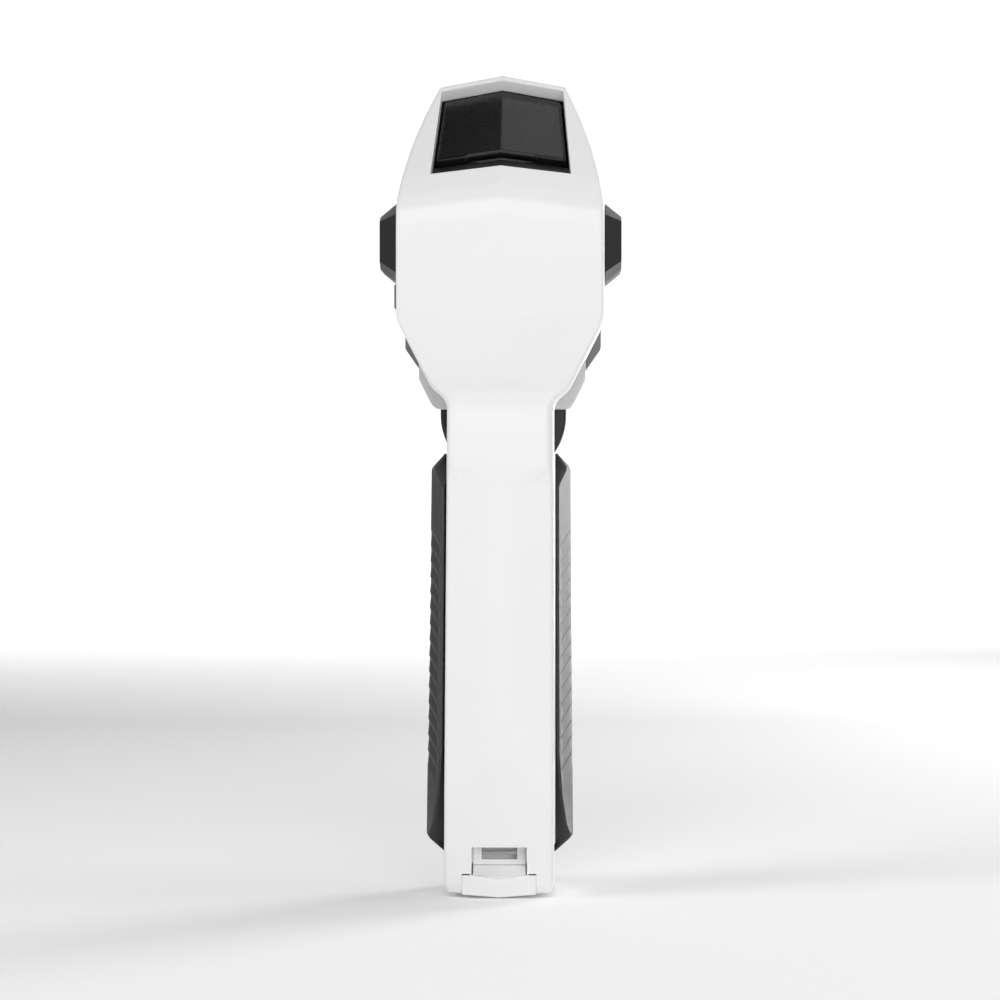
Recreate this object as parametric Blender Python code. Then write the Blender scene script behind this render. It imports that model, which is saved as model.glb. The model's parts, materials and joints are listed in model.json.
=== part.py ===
"""Hand-held structured-light 3-D scanner with a pistol grip.

The operator looks at the scanner's rear face, which faces -Y, and the optics face +Y.
+X is the operator's right and +Z is up. The origin is at the middle of the base, on the
surface that the grip stands on. Sizes below are in millimetres, and a depth is a distance
forward from the flat rear face of the head. Every mesh is scaled to metres as it is made.
"""
import math
from collections import namedtuple

import bmesh
import bpy
from mathutils import Matrix, Vector

MM = 0.001
GAP = 0.3                   # clearance between neighbouring pieces
WALL = 2.4                  # moulded wall of the white shells
REAR_Y = -34.8              # Y of the head's flat rear face

# Head
PEAK_Z = 270.0
HEAD_HALF = 33.7            # half width of the head
HEAD_TOP_HALF = 21.3        # half width at the roof's two upper corners
ROOF_RUN = 1.153            # forward run of the sloped roof for each mm of rise
ROOF_FOOT_Z = 224.9         # where the roof plane would meet the rear face
SIDE_ARC = (-110.4, 204.8, 145.1)   # centre X, centre Z and radius of the bulging sides
HEAD_BACK_PART = 58.0       # depth where the rear shell ends and the front frame starts
TAPER_TOP_Z = 184.4
TAPER_SLOPE = 0.509         # the sides close in below TAPER_TOP_Z by this much for each mm
CHIN_DEPTH = 39.7           # depth of the chin's rear wall
FRAME_FRONT = 67.7
FRAME_BEVEL = 4.0

# Grip
GRIP_HALF = 17.5
STRIP_HALF = 3.6            # half width of the flat strip down the middle of the grip's rear
FACET_FALL = 0.153          # the two rear facets fall forward by this much for each mm out
RIDGE_HALF = 8.0            # half width of the head's middle facet columns

# Window in the roof, given on the roof plane: distance up the slope from its lower edge
WINDOW_LENGTH = 51.5
WINDOW_LOW_HALF = 23.05
WINDOW_HIGH_HALF = 20.55
WINDOW_LOW_Z = 234.5
ROOF_ANGLE = math.atan2(1.0, ROOF_RUN)      # roof slope above the horizontal

# Optics bezel, a stadium that hangs down in front of the grip
BEZEL_HALF = 21.7
BEZEL_LOW_Z = 133.4
BEZEL_HIGH_Z = 262.6
BEZEL_REAR = 68.0
BEZEL_FRONT = 87.0
OPTIC_Z = {"lower": 153.5, "projector": 192.0, "texture": 219.0, "upper": 243.0}

# Base door at the heel of the grip
DOOR_HALF = 11.7
DOOR_TOP_Z = 7.4
DOOR_HINGE = (3.2, 3.0)     # depth and height of the hinge pin
POCKET_HALF = 8.8
POCKET_TOP_Z = 16.0

# Trigger
TRIGGER_PIVOT = (31.0, 146.0)   # depth and height

Station = namedtuple("Station", "z depth half slope part strip fall edge")


def start():
    """Clear the scene and make the collections for the pieces and the cutters."""
    for thing in list(bpy.data.objects):
        bpy.data.objects.remove(thing)
    for title in ("handheld_scanner", "cutters"):
        collection = bpy.data.collections.new(title)
        bpy.context.scene.collection.children.link(collection)


def material(name, colour, roughness=0.5, metallic=0.0):
    """A Principled material, made once for each name."""
    found = bpy.data.materials.get(name)
    if found:
        return found
    made = bpy.data.materials.new(name)
    made.use_nodes = True
    shader = made.node_tree.nodes["Principled BSDF"]
    shader.inputs["Base Color"].default_value = (*colour, 1.0)
    shader.inputs["Roughness"].default_value = roughness
    shader.inputs["Metallic"].default_value = metallic
    return made


WHITE = ("white_abs", (0.86, 0.86, 0.86), 0.38)
GREY = ("grey_abs", (0.30, 0.30, 0.31), 0.45)
BLACK = ("black_abs", (0.022, 0.022, 0.023), 0.42)
RUBBER = ("grip_rubber", (0.045, 0.045, 0.046), 0.75)
STEEL = ("steel", (0.62, 0.62, 0.63), 0.28, 1.0)
ALUMINIUM = ("aluminium", (0.55, 0.56, 0.58), 0.35, 1.0)
BOARD = ("circuit_board", (0.02, 0.16, 0.07), 0.5)
LENS = ("lens_glass", (0.03, 0.03, 0.06), 0.05)
DIFFUSER = ("led_diffuser", (0.9, 0.9, 0.85), 0.3)
BRASS = ("brass", (0.7, 0.5, 0.2), 0.3, 1.0)
CELL = ("cell_wrap", (0.05, 0.12, 0.35), 0.35)
CABLE = ("cable_sheath", (0.03, 0.03, 0.03), 0.6)


def at(x, depth, z):
    """A point of the part, from millimetres and a depth behind the head's rear face."""
    return Vector((x, REAR_Y + depth, z)) * MM


def piece(name, mesh_data, finish, cutter=False):
    """An object with a mesh, put in the right collection."""
    thing = bpy.data.objects.new(name, mesh_data)
    home = "cutters" if cutter else "handheld_scanner"
    bpy.data.collections[home].objects.link(thing)
    if cutter:
        thing.hide_render = True
        thing.display_type = "WIRE"
    else:
        mesh_data.materials.append(material(*finish))
    return thing


def from_bmesh(name, shape, finish, cutter=False):
    """Turn a bmesh into an object, its doubled points merged and its faces pointing out."""
    bmesh.ops.remove_doubles(shape, verts=shape.verts, dist=1e-6)
    bmesh.ops.recalc_face_normals(shape, faces=shape.faces)
    mesh_data = bpy.data.meshes.new(name)
    shape.to_mesh(mesh_data)
    shape.free()
    return piece(name, mesh_data, finish, cutter)


def box(name, low, high, finish=WHITE, turn=None, cutter=False):
    """A box between two corners (x, depth, z), turned about its centre by a matrix."""
    low, high = at(*low), at(*high)
    size = high - low
    centre = (low + high) / 2
    shape = bmesh.new()
    bmesh.ops.create_cube(shape, size=1.0, matrix=Matrix.Diagonal((*size, 1.0)))
    if turn:
        bmesh.ops.transform(shape, matrix=turn, verts=shape.verts)
    thing = from_bmesh(name, shape, finish, cutter=cutter)
    thing.location = centre
    return thing


def turn_to(axis):
    """The rotation that takes +Z to an axis."""
    return Vector((0, 0, 1)).rotation_difference(Vector(axis)).to_matrix().to_4x4()


def cylinder(name, start_point, axis, radius, length, finish=WHITE, end_radius=None,
             segments=32, cutter=False):
    """A cylinder or cone from its start point (x, depth, z) along an axis."""
    shape = bmesh.new()
    end_radius = radius if end_radius is None else end_radius
    bmesh.ops.create_cone(shape, cap_ends=True, segments=segments, radius1=radius * MM,
                          radius2=end_radius * MM, depth=length * MM)
    bmesh.ops.transform(shape, matrix=turn_to(axis), verts=shape.verts)
    thing = from_bmesh(name, shape, finish, cutter=cutter)
    thing.location = at(*start_point) + Vector(axis).normalized() * length * MM / 2
    return thing


def loft(name, rings, finish, cutter=False):
    """A closed solid through rings of points with the same count, capped at both ends."""
    shape = bmesh.new()
    made = [[shape.verts.new(point) for point in ring] for ring in rings]
    count = len(made[0])
    for lower, upper in zip(made, made[1:]):
        for i in range(count):
            j = (i + 1) % count
            shape.faces.new((lower[i], lower[j], upper[j], upper[i]))
    shape.faces.new(made[0])
    shape.faces.new(made[-1])
    return from_bmesh(name, shape, finish, cutter)


def prism(name, outline, low, high, finish, along="depth", cutter=False):
    """An outline pushed from one depth, or one x, or one height, to another."""
    def point(pair, level):
        a, b = pair
        if along == "depth":
            return at(a, level, b)
        return at(level, a, b) if along == "x" else at(a, b, level)
    rings = [[point(pair, level) for pair in outline] for level in (low, high)]
    return loft(name, rings, finish, cutter)


def move_origin(thing, point):
    """Put an unturned object's origin on its joint's axis and leave its shape in place."""
    thing.data.transform(Matrix.Translation(thing.location - point))
    thing.location = point


def apply_boolean(target, other, operation):
    """Cut or join with the exact solver; a cutter stays as a wire guide."""
    step = target.modifiers.new(operation.lower(), "BOOLEAN")
    step.operation = operation
    step.solver = "EXACT"
    step.object = other


def cut(target, *cutters):
    for other in cutters:
        apply_boolean(target, other, "DIFFERENCE")


def join(target, *others):
    """Add solids to a piece; each one becomes a guide and isn't a piece of its own."""
    for other in others:
        for home in list(other.users_collection):
            home.objects.unlink(other)
        bpy.data.collections["cutters"].objects.link(other)
        other.hide_render = True
        other.display_type = "WIRE"
        apply_boolean(target, other, "UNION")


def stadium(half, low_z, high_z, steps=10):
    """A vertical stadium outline: half circles above and below a straight stretch."""
    points = []
    for centre, first in ((high_z - half, 0.0), (low_z + half, math.pi)):
        for i in range(steps + 1):
            angle = first + math.pi * i / steps
            points.append((half * math.cos(angle), centre + half * math.sin(angle)))
    return points


# ---------------------------------------------------------------- shell stations

def half_width(z):
    """Half width of the head and grip at a height, from the operator's view."""
    arc_x, arc_z, radius = SIDE_ARC
    if z > 222.6:
        return arc_x + math.sqrt(radius ** 2 - (z - arc_z) ** 2)
    if z > TAPER_TOP_Z:
        return HEAD_HALF
    if z > 162.0:
        return HEAD_HALF - TAPER_SLOPE * (TAPER_TOP_Z - z)
    if z > 156.5:
        flare = (z - 156.5) / 5.5
        return GRIP_HALF + 4.8 * flare ** 1.8
    return GRIP_HALF


def parting(z):
    """Depth of the joint between the rear and the front shell of the grip."""
    heights = ((0.0, 4.7), (16.0, 4.7), (43.7, 6.0), (90.0, 13.0), (137.0, 21.5), (156.5, 28.0))
    for (z0, d0), (z1, d1) in zip(heights, heights[1:]):
        if z <= z1:
            return d0 + (d1 - d0) * (z - z0) / (z1 - z0)
    return CHIN_DEPTH if z < 166.0 else HEAD_BACK_PART


def rear_station(z, depth, slope, fall=0.0, strip=RIDGE_HALF, edge=1.5):
    """One row of the rear shell; its half width is the outline's at the row's own edge."""
    half = half_width(z)
    for _ in range(4):
        half = half_width(z - slope * half)
    return Station(z, depth, half, slope, parting(z), strip, fall, edge)


def rear_stations():
    grip = {"strip": STRIP_HALF, "fall": FACET_FALL}
    return [
        Station(PEAK_Z, 52.0, HEAD_TOP_HALF, 0.192, HEAD_BACK_PART, RIDGE_HALF, 0.0, 0.8),
        rear_station(257.0, 37.0, 0.165),
        rear_station(246.0, 24.3, 0.14),
        rear_station(WINDOW_LOW_Z, 11.1, 0.12),
        rear_station(228.7, 4.8, 0.13),
        rear_station(224.0, 1.2, 0.13),
        rear_station(219.1, 0.0, 0.125),
        rear_station(200.0, 0.0, 0.0),
        rear_station(184.0, 0.0, -0.11),
        rear_station(180.0, 1.0, -0.12),
        rear_station(172.0, 3.8, -0.03),
        rear_station(164.3, 7.0, 0.0, strip=10.0, edge=2.0),
        rear_station(161.5, 8.2, 0.0, strip=9.0, edge=2.5),
        rear_station(159.0, 9.0, 0.0, strip=8.0, edge=3.0),
        rear_station(156.6, 9.4, 0.0, strip=7.0, edge=3.0),
        rear_station(156.0, 9.4, 0.0, strip=7.0, edge=3.0),
        rear_station(137.0, 5.2, 0.0, strip=7.0, edge=3.0),
        rear_station(131.0, 3.9, 0.0, **grip),
        rear_station(90.0, -4.8, 0.0, **grip),
        rear_station(43.7, -14.6, 0.0, **grip),
        rear_station(31.2, -15.5, 0.0, strip=STRIP_HALF),
        rear_station(16.0, -16.6, 0.0, strip=STRIP_HALF),
        rear_station(4.0, -17.4, -0.02, strip=STRIP_HALF),
        rear_station(0.0, -15.8, -0.08, strip=STRIP_HALF),
    ]


def front_stations():
    """Rows of the grip's front shell; depth is its front face."""
    rows = ((155.6, 39.3), (150.0, 38.0), (131.0, 36.2), (90.0, 32.5), (43.7, 28.2),
            (16.0, 25.6), (3.0, 24.4), (0.0, 22.4))
    return [Station(z, depth, GRIP_HALF, 0.0, parting(z) + GAP, 5.0, 0.0, 6.5)
            for z, depth in rows]


def tilt_factor(before, after, lead, field):
    """How much a wall grows along depth or x when it is measured square to the surface."""
    rise = before.z - after.z
    run = getattr(before, field) - getattr(after, field)
    factor = math.hypot(1.0, run / rise) if abs(rise) > 1e-6 else 1.0
    return min(factor, lead)


def inset(stations, wall, sign=1):
    """The stations of the hollow inside a shell, a wall thickness within its surface."""
    made = []
    for i, row in enumerate(stations):
        before = stations[max(i - 1, 0)]
        after = stations[min(i + 1, len(stations) - 1)]
        deeper = wall * tilt_factor(before, after, 1.6, "depth")
        narrower = wall * tilt_factor(before, after, 1.3, "half")
        z, depth = row.z, row.depth + sign * deeper
        if i == len(stations) - 1:
            z = wall
        made.append(row._replace(z=z, depth=depth, half=row.half - narrower,
                                 part=row.part + sign * 6.0))
    return made


def band_rings(stations, sign=1):
    """Closed rings, one a station: the outer face from side to side and back along the joint."""
    rings = []
    for row in stations:
        inner = row.half - row.edge
        xs = (0.0, row.strip, inner, row.half)
        fall = row.fall * (inner - row.strip)
        depths = (row.depth, row.depth, row.depth + sign * fall, row.depth + sign * (fall + row.edge))
        right = list(zip(xs, depths))
        left = [(-x, depth) for x, depth in reversed(right[1:])]
        face = [at(x, depth, row.z - row.slope * abs(x)) for x, depth in left + right]
        seam = [at(x, row.part, row.z - row.slope * abs(x)) for x, _ in reversed(left + right)]
        rings.append(face + seam)
    return rings


def band(name, stations, finish, sign=1, cutter=False):
    """A solid through the stations, its joint face and end faces made of strips."""
    rings = band_rings(stations, sign)
    shape = bmesh.new()
    made = [[shape.verts.new(point) for point in ring] for ring in rings]
    count = len(made[0])
    across = count // 2
    for lower, upper in zip(made, made[1:]):
        for i in range(count):
            j = (i + 1) % count
            shape.faces.new((lower[i], lower[j], upper[j], upper[i]))
    for ring in (made[0], made[-1]):
        for i in range(across - 1):
            shape.faces.new((ring[i], ring[i + 1], ring[count - 2 - i], ring[count - 1 - i]))
    return from_bmesh(name, shape, finish, cutter=cutter)


# ---------------------------------------------------------------- roof plane

def roof_point(x, up, out):
    """A point on the gabled roof: x, distance up its slope, and height square to it."""
    share = up / WINDOW_LENGTH
    fall = 0.12 + (0.18 - 0.12) * share
    z = WINDOW_LOW_Z + up * math.sin(ROOF_ANGLE) - fall * abs(x)
    depth = 11.1 + up * math.cos(ROOF_ANGLE)
    return at(x, depth - out * math.sin(ROOF_ANGLE), z + out * math.cos(ROOF_ANGLE))


def window_half(up):
    return WINDOW_LOW_HALF + (WINDOW_HIGH_HALF - WINDOW_LOW_HALF) * up / WINDOW_LENGTH


def roof_slab(name, ups, outs, halves, finish, cutter=False, steps=1):
    """A gabled slab on the roof between two heights, from ring to ring up the slope."""
    rings = []
    for up, (low, high), half in zip(ups, outs, halves):
        xs = [half * (i / steps - 1.0) for i in range(2 * steps + 1)]
        rings.append([roof_point(x, up, low) for x in xs]
                     + [roof_point(x, up, high) for x in reversed(xs)])
    shape = bmesh.new()
    made = [[shape.verts.new(point) for point in ring] for ring in rings]
    count = len(made[0])
    for lower, upper in zip(made, made[1:]):
        for i in range(count):
            j = (i + 1) % count
            shape.faces.new((lower[i], lower[j], upper[j], upper[i]))
    for ring in (made[0], made[-1]):
        for i in range(count // 2 - 1):
            shape.faces.new((ring[i], ring[i + 1], ring[count - 2 - i], ring[count - 1 - i]))
    return from_bmesh(name, shape, finish, cutter=cutter)


# ---------------------------------------------------------------- housing

def rear_shell():
    """The white shell of the head's rear, the neck and the rear half of the grip."""
    stations = rear_stations()
    shell = band("rear_shell", stations, WHITE)
    inner = inset(stations, WALL)
    top_z = PEAK_Z - WALL
    inner[0] = inner[0]._replace(z=top_z, depth=(top_z - ROOF_FOOT_Z) * ROOF_RUN + 1.52 * WALL,
                                 half=HEAD_TOP_HALF - WALL)
    hollow = band("rear_shell_hollow", inner, WHITE, cutter=True)
    ups = (0.0, WINDOW_LENGTH)
    window = roof_slab("window_cutter", ups, ((-5.0, 3.0),) * 2,
                       [window_half(up) for up in ups], WHITE, cutter=True)
    pocket = box("pocket_cutter", (-POCKET_HALF, -30.0, 2.0), (POCKET_HALF, -12.0, POCKET_TOP_Z),
                 cutter=True)
    door = box("door_cutter", (-DOOR_HALF - GAP, -30.0, -3.0), (DOOR_HALF + GAP, 8.0, DOOR_TOP_Z),
               cutter=True)
    vents = [box(f"vent_cutter_{side}", (sign * 40.0 if sign < 0 else 24.0, 16.0, 201.0),
                 (40.0 if sign > 0 else -24.0, 40.0, 217.0), cutter=True)
             for side, sign in (("left", -1), ("right", 1))]
    pin_bore = cylinder("door_pin_bore", (-14.8, *DOOR_HINGE), (1, 0, 0), 1.15, 29.6, segments=16,
                        cutter=True)
    cut(shell, hollow, window, pocket, door, *vents, pin_bore)
    return shell


def handle_front_shell():
    """The white front half of the grip, open for the trigger."""
    stations = front_stations()
    shell = band("handle_front_shell", stations, WHITE, sign=-1)
    inner = inset(stations, WALL, sign=-1)
    inner[0] = inner[0]._replace(z=165.0, half=GRIP_HALF - WALL)
    hollow = band("handle_front_hollow", inner, WHITE, sign=-1, cutter=True)
    opening = box("trigger_opening", (-6.6, 28.0, 117.0), (6.6, 50.0, 150.0), cutter=True)
    hinge_room = box("door_hinge_room", (-DOOR_HALF - GAP, 0.0, -3.0), (DOOR_HALF + GAP, 6.8, 6.0),
                     cutter=True)
    cut(shell, hollow, opening, hinge_room)
    return shell


def chin_shell():
    """The white chin that carries the grip forward under the head."""
    def outline(shift):
        return [(x - math.copysign(shift, x) if x else 0.0, z + (shift if z < 172 else 0.0))
                for x, z in ((28.0, 172.5), (28.0, 166.5), (23.7, 158.2), (22.4, 156.8),
                             (-22.4, 156.8), (-23.7, 158.2), (-28.0, 166.5), (-28.0, 172.5))]
    shell = prism("chin_shell", outline(0.0), CHIN_DEPTH + GAP, HEAD_BACK_PART, WHITE)
    inner = [(x, z + (8.0 if z > 172 else 0.0)) for x, z in outline(2.0)]
    hollow = prism("chin_hollow", inner, CHIN_DEPTH + GAP + 2.0, HEAD_BACK_PART + 3.0, WHITE,
                   cutter=True)
    room = prism("chin_room", [(half_width(z) + 0.5, z) for z in (160.0, 162.0, 185.0)]
                 + [(-half_width(z) - 0.5, z) for z in (185.0, 162.0, 160.0)],
                 CHIN_DEPTH - 5.0, HEAD_BACK_PART + 4.0, WHITE, cutter=True)
    cut(shell, hollow, room)
    return shell


def front_frame():
    """The grey frame across the front of the head, which carries the optics."""
    def outline(shrink):
        heights = [PEAK_Z - 4.1, 255.0, 240.0, 222.6, 177.5]
        right = [(half_width(z) - 0.2 - shrink, z - (shrink if i == 0 else 0.0))
                 for i, z in enumerate(heights)]
        right += [(28.0 - shrink, 169.7), (24.6 - shrink, 164.4 + shrink)]
        right[4] = (HEAD_HALF - 0.3 - shrink, 177.5)
        left = [(-x, z) for x, z in reversed(right)]
        return right + left + [(0.0, PEAK_Z - 0.2 - shrink)]
    rings = [[at(x, depth, z) for x, z in outline(shrink)]
             for depth, shrink in ((HEAD_BACK_PART + GAP, 0.0), (63.5, 0.0),
                                   (FRAME_FRONT, FRAME_BEVEL))]
    frame = loft("front_frame", rings, GREY)
    opening = prism("frame_opening", [(-17.0, 170.0), (17.0, 170.0), (17.0, 246.0), (-17.0, 246.0)],
                    50.0, 75.0, GREY, cutter=True)
    cut(frame, opening)
    return frame


def optics_bezel():
    """The black stadium cup that holds the cameras and the projector."""
    bezel = prism("optics_bezel", stadium(BEZEL_HALF, BEZEL_LOW_Z, BEZEL_HIGH_Z), BEZEL_REAR,
                  BEZEL_FRONT, BLACK)
    wall = 2.2
    hollow = prism("bezel_hollow", stadium(BEZEL_HALF - wall, BEZEL_LOW_Z + wall,
                                           BEZEL_HIGH_Z - wall),
                   BEZEL_REAR + 2.4, BEZEL_FRONT + 3.0, BLACK, cutter=True)
    way = box("bezel_way", (-12.0, 60.0, 178.0), (12.0, 75.0, 236.0), cutter=True)
    cut(bezel, hollow, way)
    return bezel


def front_panel():
    """The gloss panel over the optics, bored for each lens."""
    inset_by = 2.2 + GAP
    panel = prism("front_panel", stadium(BEZEL_HALF - inset_by, BEZEL_LOW_Z + inset_by,
                                         BEZEL_HIGH_Z - inset_by), 84.0, 86.0, BLACK)
    bores = [cylinder(f"panel_bore_{name}", (0, 80.0, OPTIC_Z[name]), (0, 1, 0), radius, 10.0,
                      cutter=True)
             for name, radius in (("lower", 10.4), ("upper", 10.4), ("projector", 12.4),
                                  ("texture", 6.4))]
    slot = box("panel_slot", (-9.3, 80.0, 169.2), (9.3, 90.0, 173.8), cutter=True)
    cut(panel, *bores, slot)
    return panel


def optics():
    """The back plate, the cameras, the projector and their lenses."""
    shrink = 2.2 + 0.5
    plate = prism("optics_plate", stadium(BEZEL_HALF - shrink, BEZEL_LOW_Z + shrink,
                                          BEZEL_HIGH_Z - shrink), 71.0, 73.4, ALUMINIUM)
    cut(plate, box("plate_way", (-6.0, 65.0, 203.0), (6.0, 80.0, 209.0), cutter=True))
    for name, half, radius, lens_radius in (("lower", 11.5, 10.0, 8.0), ("upper", 11.5, 10.0, 8.0),
                                            ("projector", 13.0, 12.0, 9.5),
                                            ("texture", 7.5, 6.0, 4.6)):
        z = OPTIC_Z[name]
        title = {"projector": "projector", "texture": "texture_camera"}.get(name, f"camera_{name}")
        body = box(title + "_body", (-half, 73.7, z - half), (half, 79.0, z + half), BLACK)
        barrel = cylinder(title + "_barrel", (0, 78.0, z), (0, 1, 0), radius, 8.2, BLACK)
        join(body, barrel)
        cut(body, cylinder(title + "_bore", (0, 81.7, z), (0, 1, 0), lens_radius + 0.2, 8.0,
                           cutter=True))
        shape = bmesh.new()
        bmesh.ops.create_uvsphere(shape, u_segments=24, v_segments=12, radius=1.0)
        bmesh.ops.transform(shape, matrix=Matrix.Diagonal((lens_radius * MM, 1.7 * MM,
                                                           lens_radius * MM, 1.0)),
                            verts=shape.verts)
        lens = from_bmesh(title + "_lens", shape, LENS)
        lens.location = at(0, 83.8, z)
    box("led_bar", (-9.0, 73.7, 169.5), (9.0, 85.6, 173.5), DIFFUSER)


def electronics():
    """The main board, the heat sink and the fan behind the optics."""
    box("main_board", (-24.0, 46.3, 186.0), (24.0, 47.9, 238.0), BOARD)
    comb = [(-20.0, 46.0), (20.0, 46.0)]
    fins, width = 9, 1.6
    pitch = (40.0 - width) / (fins - 1)
    for i in range(fins):
        right = 20.0 - i * pitch
        comb += [(right, 35.0), (right - width, 35.0)]
        if i < fins - 1:
            comb += [(right - width, 43.4), (right - pitch, 43.4)]
    comb.append((-20.0, 43.4))
    comb = [point for i, point in enumerate(comb) if i == 0 or point != comb[i - 1]]
    prism("heat_sink", comb[:-1], 190.0, 228.0, ALUMINIUM, along="z")

    middle = 200.5
    frame = box("fan_frame", (-20.0, 23.0, middle - 20.0), (20.0, 33.0, middle + 20.0), BLACK)
    cut(frame, cylinder("fan_bore", (0, 20.0, middle), (0, 1, 0), 18.6, 11.2, cutter=True,
                        segments=40),
        cylinder("fan_bore_front", (0, 30.0, middle), (0, 1, 0), 16.5, 6.0, cutter=True))
    spider = [box("fan_arm_flat", (-17.5, 31.4, middle - 1.2), (17.5, 32.8, middle + 1.2)),
              box("fan_arm_tall", (-1.2, 31.4, middle - 17.5), (1.2, 32.8, middle + 17.5)),
              cylinder("fan_post", (0, 27.0, middle), (0, 1, 0), 2.0, 5.8)]
    join(frame, *spider)

    rotor = cylinder("fan_rotor", (0, 23.6, middle), (0, 1, 0), 8.0, 7.2, BLACK)
    for i in range(7):
        blade = box(f"fan_blade_{i}", (-1.5, 24.2, middle - 0.55), (10.9, 30.2, middle + 0.55),
                    turn=Matrix.Translation((12.2 * MM, 0, 0)) @ Matrix.Rotation(0.6, 4, "X"))
        blade.location = at(0, 27.0, middle)
        blade.rotation_euler = (0, 2 * math.pi * i / 7, 0)
        join(rotor, blade)
    cut(rotor, cylinder("rotor_bore", (0, 26.0, middle), (0, 1, 0), 2.4, 8.0, cutter=True))


def side_cowls():
    """Two black air cowls, flat-topped pyramids on the sides of the head, and the left grille."""
    base = [(3.0, 199.6), (3.0, 218.3), (12.0, 222.6), (40.0, 222.6), (52.0, 215.0),
            (52.0, 204.5), (40.0, 197.1), (12.0, 197.1)]
    crown = [(9.0, 203.6), (9.0, 216.6), (14.0, 218.4), (38.0, 218.4), (46.0, 213.4),
             (46.0, 206.4), (38.0, 201.4), (14.0, 201.4)]
    for side, sign in (("left", -1), ("right", 1)):
        rings = [[at(sign * x, depth, z) for depth, z in outline]
                 for x, outline in ((HEAD_HALF + GAP, base), (39.4, crown))]
        cowl = loft(f"side_cowl_{side}", rings, BLACK)
        mid_depth, mid_z = 27.5, 209.9

        def shrunk(outline, scale):
            return [(mid_depth + (d - mid_depth) * scale, mid_z + (z - mid_z) * scale)
                    for d, z in outline]
        hollow = loft(f"cowl_hollow_{side}",
                      [[at(sign * x, depth, z) for depth, z in outline]
                       for x, outline in ((HEAD_HALF - 2.0, shrunk(base, 0.84)),
                                          (37.6, shrunk(crown, 0.82)))], BLACK, cutter=True)
        cut(cowl, hollow)
        for i in range(6):
            depth = 16.0 + 4.6 * i
            cut(cowl, box(f"cowl_slot_{side}_{i}", (sign * 39.0 - 3.0, depth, 204.2),
                          (sign * 39.0 + 3.0, depth + 1.8, 215.6), cutter=True))
    grille = box("side_grille", (-HEAD_HALF - 1.1, 13.0, 188.6), (-HEAD_HALF - GAP, 45.0, 196.4),
                 BLACK)
    for i in range(10):
        depth = 15.0 + 2.9 * i
        cut(grille, box(f"grille_slot_{i}", (-HEAD_HALF - 2.0, depth, 189.8),
                        (-HEAD_HALF - 0.8, depth + 1.2, 195.2), cutter=True))


def rear_depth(z):
    """Depth of the grip's rear centre line at a height."""
    rows = [(row.z, row.depth) for row in rear_stations()][::-1]
    for (z0, d0), (z1, d1) in zip(rows, rows[1:]):
        if z <= z1:
            return d0 + (d1 - d0) * (z - z0) / (z1 - z0)
    return rows[-1][1]


def front_depth(z):
    """Depth of the grip's front face at a height."""
    rows = [(row.z, row.depth) for row in front_stations()][::-1]
    for (z0, d0), (z1, d1) in zip(rows, rows[1:]):
        if z <= z1:
            return d0 + (d1 - d0) * (z - z0) / (z1 - z0)
    return rows[-1][1]


def grips():
    """The two rubber grip pads: a groove, a crest and a sloping outer facet on each side."""
    inner = GRIP_HALF + GAP
    rows = (    # height, crest x, crest depth from the rear, widest x, widest depth from the rear
        (13.4, 17.9, 12.0, 18.1, 16.0),
        (17.9, 22.8, 9.0, 23.5, 12.0),
        (22.3, 21.2, 6.5, 23.5, 13.0),
        (31.7, 19.8, 5.2, 23.4, 14.0),
        (45.0, 18.9, 4.6, 23.3, 15.0),
        (90.0, 18.8, 4.6, 23.0, 15.0),
        (130.2, 18.8, 4.6, 22.9, 15.0),
        (136.1, 21.4, 11.4, 22.9, 15.5),
        (141.2, 17.95, 14.0, 18.1, 16.0),
    )
    for side, sign in (("left", -1), ("right", 1)):
        rings = []
        for z, crest_x, crest, wide_x, wide in rows:
            rear, front = rear_depth(z), front_depth(z)
            points = ((inner, rear + crest + 2.4), (crest_x, rear + crest), (wide_x, rear + wide),
                      (wide_x, front - 14.0), (min(wide_x, 20.6), front - 8.2),
                      (inner, front - 7.4))
            rings.append([at(sign * x, depth, z) for x, depth in points])
        loft(f"grip_pad_{side}", rings, RUBBER)


# ---------------------------------------------------------------- hatch and port bay

HATCH_HINGE_UP = 47.0       # distance up the slope of the hatch's hinge
HATCH_HINGE_OUT = -6.8
KNUCKLE_X = 4.8             # middle of each of the hatch's two knuckles
SOCKET_X = 12.0             # the two sockets stand left and right of the middle
SOCKET_UP = 19.0            # distance up the slope of the sockets
BUTTON_UP = 24.0            # and of the power button


def hatch_pivot():
    """The middle of the hatch's hinge line, under the upper edge of the window."""
    return roof_point(0.0, HATCH_HINGE_UP, HATCH_HINGE_OUT)


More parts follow.
